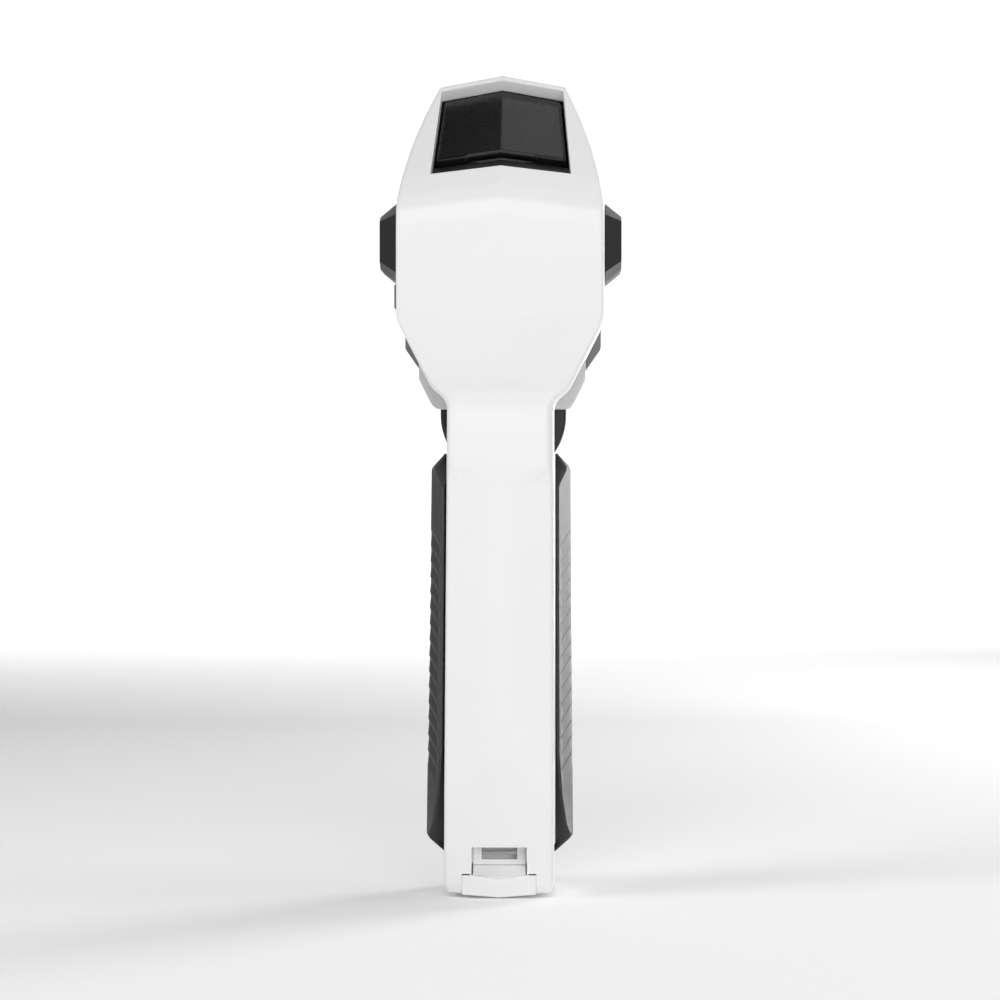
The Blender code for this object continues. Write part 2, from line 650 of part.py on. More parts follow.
def hatch_bay():
    """The black tray under the window: a ledge along its lower side, where a fingertip reaches
    under the hatch, and a well with the sockets and the power button."""
    ups = (-1.2, 46.0, 52.6)
    outside = ((-16.0, -5.8), (-16.0, -5.8), (-10.6, -5.8))
    halves = (24.6, 21.7, 20.3)
    tray = roof_slab("hatch_tray", ups, outside, halves, BLACK)
    hollow = roof_slab("tray_hollow", (12.6, 45.0, 51.7),
                       ((-14.4, 2.0), (-14.4, 2.0), (-9.4, 2.0)), (22.3, 20.8, 19.7), BLACK,
                       cutter=True)
    cut(tray, hollow)
    down = (roof_point(0, 20, -1) - roof_point(0, 20, 0)).normalized()
    ears = []
    for side, sign in (("left", -1), ("right", 1)):
        for tag, x in (("outer", KNUCKLE_X + 2.8), ("inner", KNUCKLE_X - 2.8)):
            ear = cylinder(f"tray_ear_{side}_{tag}", (0, 0, 0), (1, 0, 0), 1.5, 1.6, BLACK,
                           segments=16)
            ear.location = Vector((sign * x * MM, *hatch_pivot().yz))
            ears.append(ear)
            post = box(f"tray_post_{side}_{tag}", (0, 0, 0), (1.5, 2.2, 7.4), BLACK)
            post.rotation_euler = (math.atan2(-down.y, down.z) + math.pi, 0, 0)
            post.location = Vector((sign * x * MM, *(hatch_pivot()
                                                     + down * 4.2 * MM).yz))
            ears.append(post)
    join(tray, *ears)
    pin = cylinder("hatch_pin", (-9.0, 0, 0), (1, 0, 0), 0.75, 18.0, STEEL, segments=16)
    pin.location = hatch_pivot()
    bore = cylinder("tray_pin_bore", (-10.0, 0, 0), (1, 0, 0), 1.0, 20.0, segments=16, cutter=True)
    bore.location = hatch_pivot()
    cut(tray, bore)
    sockets(tray)
    return tray


def on_tray(thing, x, up, out):
    """Stand a piece on the roof plane at a point, its own +Z square to the roof."""
    thing.rotation_euler = (ROOF_ANGLE, 0, 0)
    thing.location = roof_point(x, up, out)


def sockets(tray):
    """A data socket, a power socket and the power button, each through the tray's floor."""
    floor = -14.4
    usb = box("usb_socket", (-4.6, -1.7, 0.0), (4.6, 1.7, 6.0), STEEL)
    on_tray(usb, -SOCKET_X, SOCKET_UP, floor + 0.4)
    mouth = box("usb_mouth", (-4.1, -1.2, 0.0), (4.1, 1.2, 6.0), cutter=True)
    on_tray(mouth, -SOCKET_X, SOCKET_UP, floor + 1.6)
    cut(usb, mouth)
    usb_way = box("usb_way", (-4.9, -2.0, 0.0), (4.9, 2.0, 12.0), cutter=True)
    on_tray(usb_way, -SOCKET_X, SOCKET_UP, floor)
    power = cylinder("dc_socket", (0, 0, 0), (0, 0, 1), 4.2, 6.0, BLACK, segments=24)
    on_tray(power, SOCKET_X, SOCKET_UP, floor + 0.4)
    hole = cylinder("dc_hole", (0, 0, 0), (0, 0, 1), 2.8, 6.0, segments=24, cutter=True)
    on_tray(hole, SOCKET_X, SOCKET_UP, floor + 1.8)
    cut(power, hole)
    dc_way = cylinder("dc_way", (0, 0, 0), (0, 0, 1), 4.5, 12.0, segments=24, cutter=True)
    on_tray(dc_way, SOCKET_X, SOCKET_UP, floor)
    switch = box("power_switch", (-3.0, -3.0, 0.0), (3.0, 3.0, 3.4), BLACK)
    on_tray(switch, 0.0, BUTTON_UP, floor - 0.9)
    switch_way = box("switch_way", (-3.3, -3.3, 0.0), (3.3, 3.3, 12.0), cutter=True)
    on_tray(switch_way, 0.0, BUTTON_UP, floor)
    button = cylinder("power_button", (0, 0, 0), (0, 0, 1), 4.0, 2.4, GREY, segments=24)
    on_tray(button, 0.0, BUTTON_UP, floor + 3.5)
    cut(tray, usb_way, dc_way, switch_way)


def hatch():
    """The black gabled hatch, hinged along its upper edge. Its lower edge is a nose with a lug
    at each side and a finger scoop between them."""
    ups = (49.6, 44.6, 44.0, 18.0, 15.0, 13.4)
    outs = ((-4.2, -3.4), (-4.2, -3.4), (-5.4, -3.4), (-5.4, -3.4), (-6.4, -3.4), (-6.6, -4.8))
    halves = (19.6, 19.9, 19.95, 21.3, 21.4, 21.3)
    lid = roof_slab("hatch_lid", ups, outs, halves, BLACK)
    scoop = roof_slab("scoop_cutter", (11.0, 14.4), ((-9.0, -2.0),) * 2, (11.8, 11.4), BLACK,
                      cutter=True)
    cut(lid, scoop)
    pivot = hatch_pivot()
    for side, sign in (("left", -1), ("right", 1)):
        knuckle = cylinder(f"hatch_knuckle_{side}", (0, 0, 0), (1, 0, 0), 1.4, 3.6, BLACK,
                           segments=16)
        knuckle.location = Vector((sign * KNUCKLE_X * MM, *pivot.yz))
        tab = roof_slab(f"hatch_tab_{side}", (HATCH_HINGE_UP - 3.4, HATCH_HINGE_UP),
                        ((-8.0, -3.8),) * 2, (1.8, 1.8), BLACK)
        tab.location = Vector((sign * KNUCKLE_X * MM, 0, -0.17 * KNUCKLE_X * MM))
        join(lid, knuckle, tab)
    bore = cylinder("knuckle_bore", (-10.0, 0, 0), (1, 0, 0), 0.95, 20.0, segments=16, cutter=True)
    bore.location = pivot
    cut(lid, bore)
    move_origin(lid, pivot)


# ---------------------------------------------------------------- trigger

def trigger_group():
    """The trigger, its pin, its torsion spring and the switch it presses."""
    depth, z = TRIGGER_PIVOT
    side = [(depth - 2.6, z - 1.5), (depth - 2.6, z + 2.6), (depth + 3.0, z + 2.6),
            (depth + 10.5, z - 3.0), (depth + 12.8, z - 12.0), (depth + 12.6, z - 20.0),
            (depth + 15.0, z - 27.6), (depth + 10.5, z - 27.6), (depth + 4.6, z - 20.0),
            (depth + 3.0, z - 8.0)]
    blade = prism("trigger", side, -5.9, 5.9, BLACK, along="x")
    slot = box("trigger_slot", (-2.6, depth - 6.0, z - 5.0), (2.6, depth + 4.2, z + 6.0),
               cutter=True)
    bore = cylinder("trigger_bore", (-8.0, depth, z), (1, 0, 0), 1.3, 16.0, segments=16,
                    cutter=True)
    cut(blade, slot, bore)
    move_origin(blade, at(0, depth, z))
    cylinder("trigger_pin", (-11.0, depth, z), (1, 0, 0), 1.2, 22.0, STEEL, segments=20)
    spring_coil("trigger_spring", depth, z)
    switch = box("trigger_switch", (-3.2, depth - 7.4, z - 28.0), (3.2, depth - 1.4, z - 14.0),
                 BLACK)
    join(switch, box("switch_plunger", (-1.2, depth - 2.0, z - 20.0), (1.2, depth + 1.4, z - 17.0)))


def spring_coil(name, depth, z):
    """A torsion spring: a few turns round the trigger's pin and two short legs."""
    radius, wire, turns, steps = 1.95, 0.35, 3.5, 14
    curve = bpy.data.curves.new(name, "CURVE")
    curve.dimensions = "3D"
    curve.bevel_depth = wire * MM
    curve.bevel_resolution = 1
    curve.use_fill_caps = True
    points = []
    for i in range(int(turns * steps) + 1):
        angle = 2 * math.pi * i / steps
        x = -1.75 + 1.0 * i / steps
        points.append((x, depth + radius * math.cos(angle), z + radius * math.sin(angle)))
    line = curve.splines.new("POLY")
    line.points.add(len(points) - 1)
    for point, (x, along, up) in zip(line.points, points):
        point.co = (*at(x, along, up), 1.0)
    thing = bpy.data.objects.new(name, curve)
    bpy.data.collections["handheld_scanner"].objects.link(thing)
    curve.materials.append(material(*STEEL))


# ---------------------------------------------------------------- grip contents and base

def grip_contents():
    """The cell, its contact, the charge board and the loom inside the grip."""
    lean = Vector((0.0, 0.20, 1.0)).normalized()
    cylinder("battery_cell", (0.0, 3.6, 10.0), lean, 9.2, 66.0, CELL, segments=32)
    cylinder("battery_contact", (0.0, 16.95, 75.4), lean, 6.0, 1.2, BRASS, segments=24)
    box("charge_board", (-11.0, 16.0, 84.0), (11.0, 17.4, 112.0), BOARD)
    loom = bpy.data.curves.new("handle_loom", "CURVE")
    loom.dimensions = "3D"
    loom.bevel_depth = 1.4 * MM
    loom.bevel_resolution = 2
    loom.use_fill_caps = True
    route = ((0.0, 17.0, 113.4), (0.0, 17.2, 120.0), (0.0, 18.0, 128.0), (0.0, 20.0, 138.0),
             (0.0, 22.5, 148.0), (2.0, 26.0, 158.0), (6.0, 31.5, 166.0), (10.0, 38.0, 172.5),
             (12.0, 43.5, 177.0), (12.5, 46.6, 181.0), (12.6, 47.1, 184.9))
    line = loom.splines.new("POLY")
    line.points.add(len(route) - 1)
    for point, place in zip(line.points, route):
        point.co = (*at(*place), 1.0)
    thing = bpy.data.objects.new("handle_loom", loom)
    bpy.data.collections["handheld_scanner"].objects.link(thing)
    loom.materials.append(material(*CABLE))


def base_door_group():
    """The door in the base with its rear tab and finger ramp, its pin and the strap bar."""
    hinge_depth, hinge_z = DOOR_HINGE
    keel = [(-DOOR_HALF, 0.9), (0.0, 0.0), (DOOR_HALF, 0.9), (DOOR_HALF, 2.6), (-DOOR_HALF, 2.6)]
    door = prism("base_door", keel, -15.2, hinge_depth - 2.4, WHITE)
    tab = loft("door_tab", [[at(x, depth, z) for x, z in
                             ((-DOOR_HALF, 0.9), (0.0, 0.0), (DOOR_HALF, 0.9),
                              (DOOR_HALF, DOOR_TOP_Z - 0.4), (POCKET_HALF, 7.0), (0.0, 5.7),
                              (-POCKET_HALF, 7.0), (-DOOR_HALF, DOOR_TOP_Z - 0.4))]
                            for depth in (-17.2, -15.0)], WHITE)
    ramp = prism("door_ramp", [(-15.4, 2.0), (-15.4, 6.2), (-11.2, 9.6), (-9.8, 9.6), (-9.8, 2.0)],
                 -POCKET_HALF + 0.4, POCKET_HALF - 0.4, WHITE, along="x")
    arm = box("door_arm", (-6.0, hinge_depth - 4.0, 1.2), (6.0, hinge_depth + 0.4, 3.2))
    barrel = cylinder("door_barrel", (-6.0, hinge_depth, hinge_z), (1, 0, 0), 1.9, 12.0,
                      segments=20)
    join(door, tab, ramp, arm, barrel)
    cut(door, cylinder("door_bore", (-8.0, hinge_depth, hinge_z), (1, 0, 0), 1.0, 16.0,
                       segments=16, cutter=True))
    move_origin(door, at(0, hinge_depth, hinge_z))
    cylinder("base_door_pin", (-14.6, hinge_depth, hinge_z), (1, 0, 0), 0.9, 29.2, STEEL,
             segments=16)
    plate = box("strap_plate", (-8.4, -11.6, 10.2), (8.4, -9.8, 18.6), WHITE)
    slot = box("strap_slot", (-5.65, -14.0, 11.4), (5.65, -8.0, 15.1), cutter=True)
    cut(plate, slot)
    cylinder("strap_bar", (-5.4, -10.7, 13.6), (1, 0, 0), 0.6, 10.8, STEEL, segments=16)


def screw(name, point, axis, radius=2.6, head=1.4, shank=5.0):
    """A socket-head screw; the point is under its head and the axis points out of it."""
    body = cylinder(name, point, axis, radius, head, STEEL, segments=20)
    back = [-part for part in axis]
    join(body, cylinder(name + "_shank", [p + a * 0.4 for p, a in zip(point, axis)], back,
                        radius * 0.5, shank, segments=12))
    cut(body, cylinder(name + "_drive", [p + a * 0.6 for p, a in zip(point, axis)], axis,
                       radius * 0.52, head + 2.0, segments=6, cutter=True))


def fasteners():
    """Screws of the front frame, the grip and the main board, with the holes they need."""
    frame = bpy.data.objects["front_frame"]
    for i, (x, z) in enumerate(((-25.6, 226.0), (25.6, 226.0), (-26.4, 188.0), (26.4, 188.0))):
        cut(frame, cylinder(f"frame_hole_{i}", (x, 50.0, z), (0, 1, 0), 1.7, 30.0, segments=16,
                            cutter=True),
            cylinder(f"frame_seat_{i}", (x, 65.9, z), (0, 1, 0), 3.0, 8.0, segments=20,
                     cutter=True))
        screw(f"frame_screw_{i + 1}", (x, 66.2, z), (0, 1, 0), shank=7.0)
    front = bpy.data.objects["handle_front_shell"]
    for i, z in enumerate((98.0, 62.0, 28.0)):
        face = front_depth(z)
        cut(front, cylinder(f"handle_hole_{i}", (0, face - 12.0, z), (0, 1, 0), 1.7, 20.0,
                            segments=16, cutter=True),
            cylinder(f"handle_seat_{i}", (0, face - 1.2, z), (0, 1, 0), 2.9, 8.0, segments=20,
                     cutter=True))
        screw(f"handle_screw_{i + 1}", (0, face - 0.9, z), (0, 1, 0), radius=2.5, head=1.0,
              shank=3.4)
    board = bpy.data.objects["main_board"]
    for i, (x, z) in enumerate(((-22.2, 232.5), (22.2, 232.5), (-22.2, 189.0), (22.2, 189.0))):
        cut(board, cylinder(f"board_hole_{i}", (x, 40.0, z), (0, 1, 0), 1.2, 20.0, segments=16,
                            cutter=True))
        screw(f"board_screw_{i + 1}", (x, 48.2, z), (0, 1, 0), radius=1.5, head=1.0, shank=4.0)


def build():
    start()
    rear_shell()
    handle_front_shell()
    chin_shell()
    front_frame()
    optics_bezel()
    front_panel()
    optics()
    electronics()
    side_cowls()
    grips()
    hatch_bay()
    hatch()
    trigger_group()
    grip_contents()
    base_door_group()
    fasteners()


build()
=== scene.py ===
"""Looks of the hand-held 3-D scanner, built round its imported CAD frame.

Lengths in the tables are millimetres and become metres as each mesh is made. A depth is
measured forward from the flat rear face of the head, which faces -Y. +X is the operator's
right and +Z is up. The file runs in this order: mesh and node helpers, materials, housing,
hatch, grip, optics, small parts, stage.
"""
import json
import math

import bmesh
import bpy
import numpy as np
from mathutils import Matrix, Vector


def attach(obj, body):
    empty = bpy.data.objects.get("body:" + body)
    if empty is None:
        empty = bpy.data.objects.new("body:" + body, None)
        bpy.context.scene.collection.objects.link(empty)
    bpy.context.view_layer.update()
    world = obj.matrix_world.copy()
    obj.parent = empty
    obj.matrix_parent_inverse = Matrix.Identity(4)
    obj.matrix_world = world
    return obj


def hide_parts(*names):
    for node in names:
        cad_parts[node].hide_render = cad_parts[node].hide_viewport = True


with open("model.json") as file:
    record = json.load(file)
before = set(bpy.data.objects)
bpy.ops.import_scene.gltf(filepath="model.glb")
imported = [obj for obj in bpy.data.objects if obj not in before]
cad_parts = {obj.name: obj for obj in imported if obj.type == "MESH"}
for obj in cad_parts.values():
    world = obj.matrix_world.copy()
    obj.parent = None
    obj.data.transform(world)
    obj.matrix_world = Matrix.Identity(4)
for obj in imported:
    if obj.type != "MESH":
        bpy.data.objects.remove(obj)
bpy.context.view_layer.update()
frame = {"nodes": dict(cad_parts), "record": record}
NODES = frame["nodes"]

MM = 0.001
REAR_Y = -34.8              # Y of the head's flat rear face
ROOF_ANGLE = math.atan2(1.0, 1.153)     # slope of the roof above the horizontal


# ---------------------------------------------------------------- mesh helpers

def placed(x, depth, z):
    """Points in metres from x, depth and height in millimetres, as one array of rows."""
    x, depth, z = np.broadcast_arrays(x, depth, z)
    return np.stack([x, REAR_Y + depth, z], axis=-1) * MM


def smooth_step(t):
    """0 below 0, 1 above 1 and the cubic 3t^2 - 2t^3 between."""
    t = np.clip(t, 0.0, 1.0)
    return t * t * (3.0 - 2.0 * t)


def rounded(values, width):
    """Values on an even grid with their corners rounded: a running mean of the given width,
    taken twice, so that a sharp crease becomes a short parabola."""
    kernel = np.ones(width) / width
    pad = width // 2
    for _ in range(2):
        padded = np.concatenate([np.repeat(values[:1], pad), values, np.repeat(values[-1:], pad)])
        # a straight run past both ends keeps the end slope
        padded[:pad] = values[0] + (values[0] - values[1]) * np.arange(pad, 0, -1)
        padded[-pad:] = values[-1] + (values[-1] - values[-2]) * np.arange(1, pad + 1)
        values = np.convolve(padded, kernel, mode="valid")[:len(values)]
    return values


def surface(name, points, finish, body, closed_u=False, closed_v=False, keep=None, flip=False,
            caps=(), sharp=None):
    """A piece from a grid of points, rows by columns by 3: each cell is one face.

    closed_u joins the last column to the first and closed_v the last row to the first. keep
    is a mask of the cells that are made. caps names the end rows, "first" or "last", that are
    closed with a fan round their middle point."""
    rows, columns = points.shape[:2]
    index = np.arange(rows * columns).reshape(rows, columns)
    across = np.roll(index, -1, axis=1) if closed_u else index[:, 1:]
    first = index if closed_u else index[:, :-1]
    if closed_v:
        upper_first, upper_across = np.roll(first, -1, axis=0), np.roll(across, -1, axis=0)
    else:
        upper_first, upper_across = first[1:], across[1:]
        first, across = first[:-1], across[:-1]
    cells = np.stack([first, across, upper_across, upper_first], axis=-1)
    if keep is not None:
        cells = cells[keep]
    cells = cells.reshape(-1, 4)
    vertices = points.reshape(-1, 3)
    faces = [cells[:, ::-1] if flip else cells]
    for cap in caps:
        ring = index[0] if cap == "first" else index[-1]
        middle = len(vertices)
        vertices = np.concatenate([vertices, vertices[ring].mean(axis=0)[None]])
        after = np.roll(ring, -1)
        fan = np.stack([after, ring, np.full(len(ring), middle)], axis=-1)
        if (cap == "last") != flip:
            fan = fan[:, ::-1]
        faces.append(fan)
    return mesh_piece(name, vertices, faces, finish, body, sharp)


def mesh_piece(name, vertices, faces, finish, body, sharp=None):
    """A piece from vertices and blocks of faces, with doubles merged and shaded smooth."""
    loops = np.concatenate([block.ravel() for block in faces])
    sizes = np.concatenate([np.full(len(block), block.shape[1]) for block in faces])
    made = bpy.data.meshes.new(name)
    made.vertices.add(len(vertices))
    made.vertices.foreach_set("co", np.ascontiguousarray(vertices, dtype=np.float32).ravel())
    made.loops.add(len(loops))
    made.loops.foreach_set("vertex_index", loops.astype(np.int32))
    made.polygons.add(len(sizes))
    starts = np.concatenate([[0], np.cumsum(sizes)[:-1]])
    made.polygons.foreach_set("loop_start", starts.astype(np.int32))
    made.update(calc_edges=True)
    made.validate()
    made.shade_smooth()
    if sharp is not None:
        made.set_sharp_from_angle(angle=math.radians(sharp))
    made.materials.append(finish["material"])
    thing = bpy.data.objects.new(name, made)
    bpy.context.scene.collection.objects.link(thing)
    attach(thing, body)
    return thing


# ---------------------------------------------------------------- material helpers

def linear(code):
    """Linear colour with alpha from an sRGB hex code."""
    parts = np.array([int(code[i:i + 2], 16) for i in (1, 3, 5)]) / 255.0
    bright = ((parts + 0.055) / 1.055) ** 2.4
    return (*np.where(parts <= 0.04045, parts / 12.92, bright), 1.0)


def add_node(tree, kind, links=(), values=None, **settings):
    """Add one node: links are (socket it comes from, name or number of its input), values
    are its inputs by name or number, and settings are its own attributes."""
    made = tree.nodes.new(kind)
    for name, value in settings.items():
        setattr(made, name, value)
    for name, value in (values or {}).items():
        made.inputs[name].default_value = value
    for source, target in links:
        tree.links.new(source, made.inputs[target])
    return made


def new_finish(name, slot, **shader_values):
    """A named material with its slot, its node tree and its Principled shader."""
    made = bpy.data.materials.new(name)
    made.use_nodes = True
    shader = made.node_tree.nodes["Principled BSDF"]
    for socket, value in shader_values.items():
        shader.inputs[socket.replace("_", " ")].default_value = value
    return {"material": made, "slot": slot, "tree": made.node_tree, "shader": shader}


def moulded_plastic(name, slot, low, high, rough, grain_mm, grain_depth, ior=1.5, coat=0.0):
    """Injection-moulded plastic.

    Its colour drifts between two close tones over tens of millimetres, as flow in the mould
    leaves it. A spark-eroded grain of the given size gives a bump and a slight change of
    roughness."""
    finish = new_finish(name, slot, IOR=ior)
    tree, shader = finish["tree"], finish["shader"]
    if coat:
        shader.inputs["Coat Weight"].default_value = coat
        shader.inputs["Coat Roughness"].default_value = 0.06
    place = add_node(tree, "ShaderNodeTexCoord")
    flow = add_node(tree, "ShaderNodeTexNoise", [(place.outputs["Object"], "Vector")],
                    values={"Scale": 1.0 / (45 * MM), "Detail": 3.0, "Roughness": 0.5})
    tone = add_node(tree, "ShaderNodeMix", [(flow.outputs["Fac"], 0)], data_type="RGBA",
                    values={6: linear(low), 7: linear(high)})
    tree.links.new(tone.outputs[2], shader.inputs["Base Color"])
    grain = add_node(tree, "ShaderNodeTexNoise", [(place.outputs["Object"], "Vector")],
                     values={"Scale": 1.0 / (grain_mm * MM), "Detail": 2.0, "Roughness": 0.6})
    spread = add_node(tree, "ShaderNodeMapRange", [(grain.outputs["Fac"], "Value")],
                      values={"From Min": 0.3, "From Max": 0.7, "To Min": rough - 0.05,
                              "To Max": rough + 0.06})
    tree.links.new(spread.outputs["Result"], shader.inputs["Roughness"])
    bump = add_node(tree, "ShaderNodeBump", [(grain.outputs["Fac"], "Height")],
                    values={"Strength": grain_depth, "Distance": 0.05 * MM})
    tree.links.new(bump.outputs["Normal"], shader.inputs["Normal"])
    return finish


def satin_metal(name, slot, low, high, rough, scratch_mm, metallic=1.0):
    """Metal with fine scratches: noise stretched along one direction moves its roughness."""
    finish = new_finish(name, slot, Metallic=metallic)
    tree, shader = finish["tree"], finish["shader"]
    place = add_node(tree, "ShaderNodeTexCoord")
    stretched = add_node(tree, "ShaderNodeMapping", [(place.outputs["Object"], "Vector")],
                         values={"Scale": (1.0, 1.0, 0.08)})
    scratches = add_node(tree, "ShaderNodeTexNoise", [(stretched.outputs["Vector"], "Vector")],
                         values={"Scale": 1.0 / (scratch_mm * MM), "Detail": 3.0})
    tone = add_node(tree, "ShaderNodeMix", [(scratches.outputs["Fac"], 0)], data_type="RGBA",
                    values={6: linear(low), 7: linear(high)})
    tree.links.new(tone.outputs[2], shader.inputs["Base Color"])
    spread = add_node(tree, "ShaderNodeMapRange", [(scratches.outputs["Fac"], "Value")],
                      values={"To Min": rough - 0.08, "To Max": rough + 0.12})
    tree.links.new(spread.outputs["Result"], shader.inputs["Roughness"])
    return finish


# White ABS, moulded and lightly textured: a near-white, satin surface with soft highlights.
WHITE = moulded_plastic("white_moulded_abs", "white_abs", "#f2f2f2", "#f6f6f6", 0.40, 0.35, 0.10)
# Black ABS with a coarser spark grain: charcoal in the light, almost black in shade.
BLACK = moulded_plastic("black_grained_abs", "black_abs", "#181818", "#1f1f1f", 0.42, 0.45, 0.35)
# The hatch has the same plastic with a finer, closer grain.
HATCH = moulded_plastic("hatch_grained_abs", "black_abs", "#101010", "#151515", 0.30, 0.40, 0.14,
                        ior=1.36)
# The chin's white ABS as a pale grey copy, satin: painted shade for the shadow the chin sits in
# under the head.
WHITE_PAINTED_SHADE = moulded_plastic("white_abs_painted_shade", "white_abs", "#cfcfcf", "#d4d4d4", 0.42, 0.35, 0.10)
# Grey ABS of the optics frame, satin.
GREY = moulded_plastic("grey_moulded_abs", "grey_abs", "#77787a", "#7e7f81", 0.42, 0.40, 0.15)
# Soft-touch grip rubber: matte, dark and evenly dusty.
RUBBER = moulded_plastic("soft_touch_rubber", "grip_rubber", "#2f2f2f", "#373737", 0.50, 0.50,
                         0.30, ior=1.45)
# Gloss acrylic panel over the optics.
GLOSS = moulded_plastic("gloss_acrylic", "black_gloss", "#0b0b0c", "#0e0e0f", 0.10, 0.60, 0.02,
                        coat=0.6)
# Green solder mask of the boards, glossy over copper tracks.
BOARD = moulded_plastic("solder_mask", "circuit_board", "#0f4a25", "#16582e", 0.34, 1.20, 0.25)
# Blue shrink film round the battery cell.
FILM = moulded_plastic("shrink_film", "cell_wrap", "#1c3f7c", "#234a8c", 0.28, 2.00, 0.10)
# Braided sheath of the loom, drawn as grain.
SHEATH = moulded_plastic("cable_sheath", "cable_sheath", "#1a1a1a", "#262626", 0.55, 0.30, 0.50)
# Frosted acrylic over the flash lamps.
FROST = moulded_plastic("frosted_acrylic", "led_diffuser", "#dcdcd6", "#e8e8e2", 0.42, 0.25, 0.20)
# Turned steel of pins and screws, anodised aluminium of plates and fins, plated brass.
STEEL = satin_metal("turned_steel", "steel", "#a9abad", "#c2c4c6", 0.32, 0.30)
ALUMINIUM = satin_metal("anodised_aluminium", "aluminium", "#9a9da0", "#b2b5b8", 0.38, 0.40)
BRASS = satin_metal("plated_brass", "brass", "#b08d4a", "#cbaa63", 0.30, 0.30)


# ---------------------------------------------------------------- head, neck and grip shell

PITCH = 0.5                 # row spacing of the shell's grid
ROUNDING = 4                # rows over which a crease is rounded, so about 2 mm
WINDOW_TOP = (268.24, 20.55)    # centre height and half width of the roof window's upper edge
WINDOW_LOW = (235.2, 23.0)     # and of its lower edge
WINDOW_DEEP = 4.4           # depth of the white wall round the window
POCKET_TOP, POCKET_HALF = 16.0, 8.8
DOOR_TOP = 7.1
SHELL_ROWS = np.array([
    # z, depth, chevron slope, strip half, fall, edge radius, inner and outer column, parting
    (270.0, 58.0, 0.185, 8.0, 0.0, 0.9, 10.0, 20.5, 58.0),
    (270.0, 52.0, 0.185, 8.0, 0.0, 0.9, 10.0, 20.5, 58.0),
    (268.24, 50.0, 0.180, 8.0, 0.0, 1.2, 10.0, 20.55, 58.0),
    (234.5, 11.1, 0.120, 8.0, 0.0, 1.5, 11.0, 23.05, 58.0),
    (228.7, 4.8, 0.130, 8.0, 0.0, 1.5, 11.0, 23.0, 58.0),
    (224.0, 1.2, 0.130, 8.0, 0.0, 1.5, 11.0, 23.0, 58.0),
    (219.1, 0.0, 0.125, 8.0, 0.0, 1.5, 11.0, 23.0, 58.0),
    (200.0, 0.0, 0.0, 7.4, 0.0, 1.5, 11.0, 23.0, 58.0),
    (184.0, 0.0, -0.110, 7.4, 0.0, 1.5, 11.0, 22.0, 58.0),
    (180.0, 1.0, -0.120, 7.4, 0.02, 1.5, 11.0, 20.0, 58.0),
    (172.0, 3.8, -0.030, 10.2, 0.03, 1.5, 12.0, 18.0, 58.0),
    (166.2, 6.2, 0.0, 12.8, 0.03, 1.8, 13.2, 15.0, 58.0),
    (165.9, 6.3, 0.0, 12.8, 0.03, 1.8, 13.2, 15.0, 39.7),
    (164.3, 7.0, 0.0, 12.8, 0.03, 2.0, 13.2, 15.0, 39.7),
    (161.5, 8.6, 0.0, 10.0, 0.0, 2.5, 11.0, 14.0, 39.7),
    (159.0, 9.3, 0.0, 8.0, 0.0, 3.0, 10.0, 13.0, 39.7),
    (156.2, 9.4, 0.0, 7.0, 0.0, 3.0, 10.0, 13.0, 39.7),
    (155.9, 9.4, 0.0, 7.0, 0.0, 3.0, 10.0, 13.0, 28.0),
    (137.0, 5.2, 0.0, 7.0, 0.0, 3.0, 10.0, 13.0, 21.5),
    (131.0, 3.9, 0.0, 3.6, 0.14, 1.9, 9.0, 12.5, 20.3),
    (90.0, -4.8, 0.0, 3.6, 0.153, 1.5, 8.8, 12.0, 13.0),
    (43.7, -14.6, 0.0, 3.6, 0.153, 1.5, 8.8, 12.0, 6.0),
    (31.2, -15.5, 0.0, 14.2, 0.04, 1.5, 8.8, 11.77, 5.4),
    (16.0, -16.6, 0.0, 14.2, 0.0, 1.7, 8.8, 11.77, 4.7),
    (4.0, -17.4, -0.020, 14.2, 0.0, 2.0, 8.8, 11.77, 4.7),
    (0.0, -15.8, -0.080, 14.2, 0.0, 2.0, 8.8, 11.77, 4.7),
    (0.0, 4.7, -0.080, 14.2, 0.0, 0.6, 8.8, 11.77, 4.7),
])


def half_width(z):
    """Half width of the head and grip at a height: an arc above the cowls, an upright side,
    a taper to the chin, a concave flare into the neck, the even grip and an elliptical turn
    into the base."""
    arc = -110.4 + np.sqrt(np.maximum(145.1 ** 2 - (z - 204.8) ** 2, 0.0))
    taper = 33.7 - 0.509 * (184.4 - z)
    flare = 17.5 + 4.8 * np.clip((z - 156.5) / 5.5, 0.0, 1.0) ** 1.8
    turn = 14.9 + 2.6 * np.sqrt(1.0 - np.clip((4.4 - z) / 4.0, 0.0, 1.0) ** 2)
    return np.select([z > 222.6, z > 184.4, z > 162.0, z > 156.5], [arc, 33.7, taper, flare], turn)


def shell_rows():
    """The rows of the shell at an even pitch along its centre line. Every column of the table
    is interpolated along that line and its creases are rounded."""
    table = SHELL_ROWS
    steps = np.hypot(np.diff(table[:, 0]), np.diff(table[:, 1]))
    along = np.concatenate([[0.0], np.cumsum(np.maximum(steps, 1e-3))])
    count = int(along[-1] / PITCH)
    at = np.linspace(0.0, along[-1], count)
    rows = np.stack([np.interp(at, along, table[:, i]) for i in range(table.shape[1])], axis=1)
    for i in range(8):
        rows[:, i] = rounded(rows[:, i], ROUNDING)
    return rows


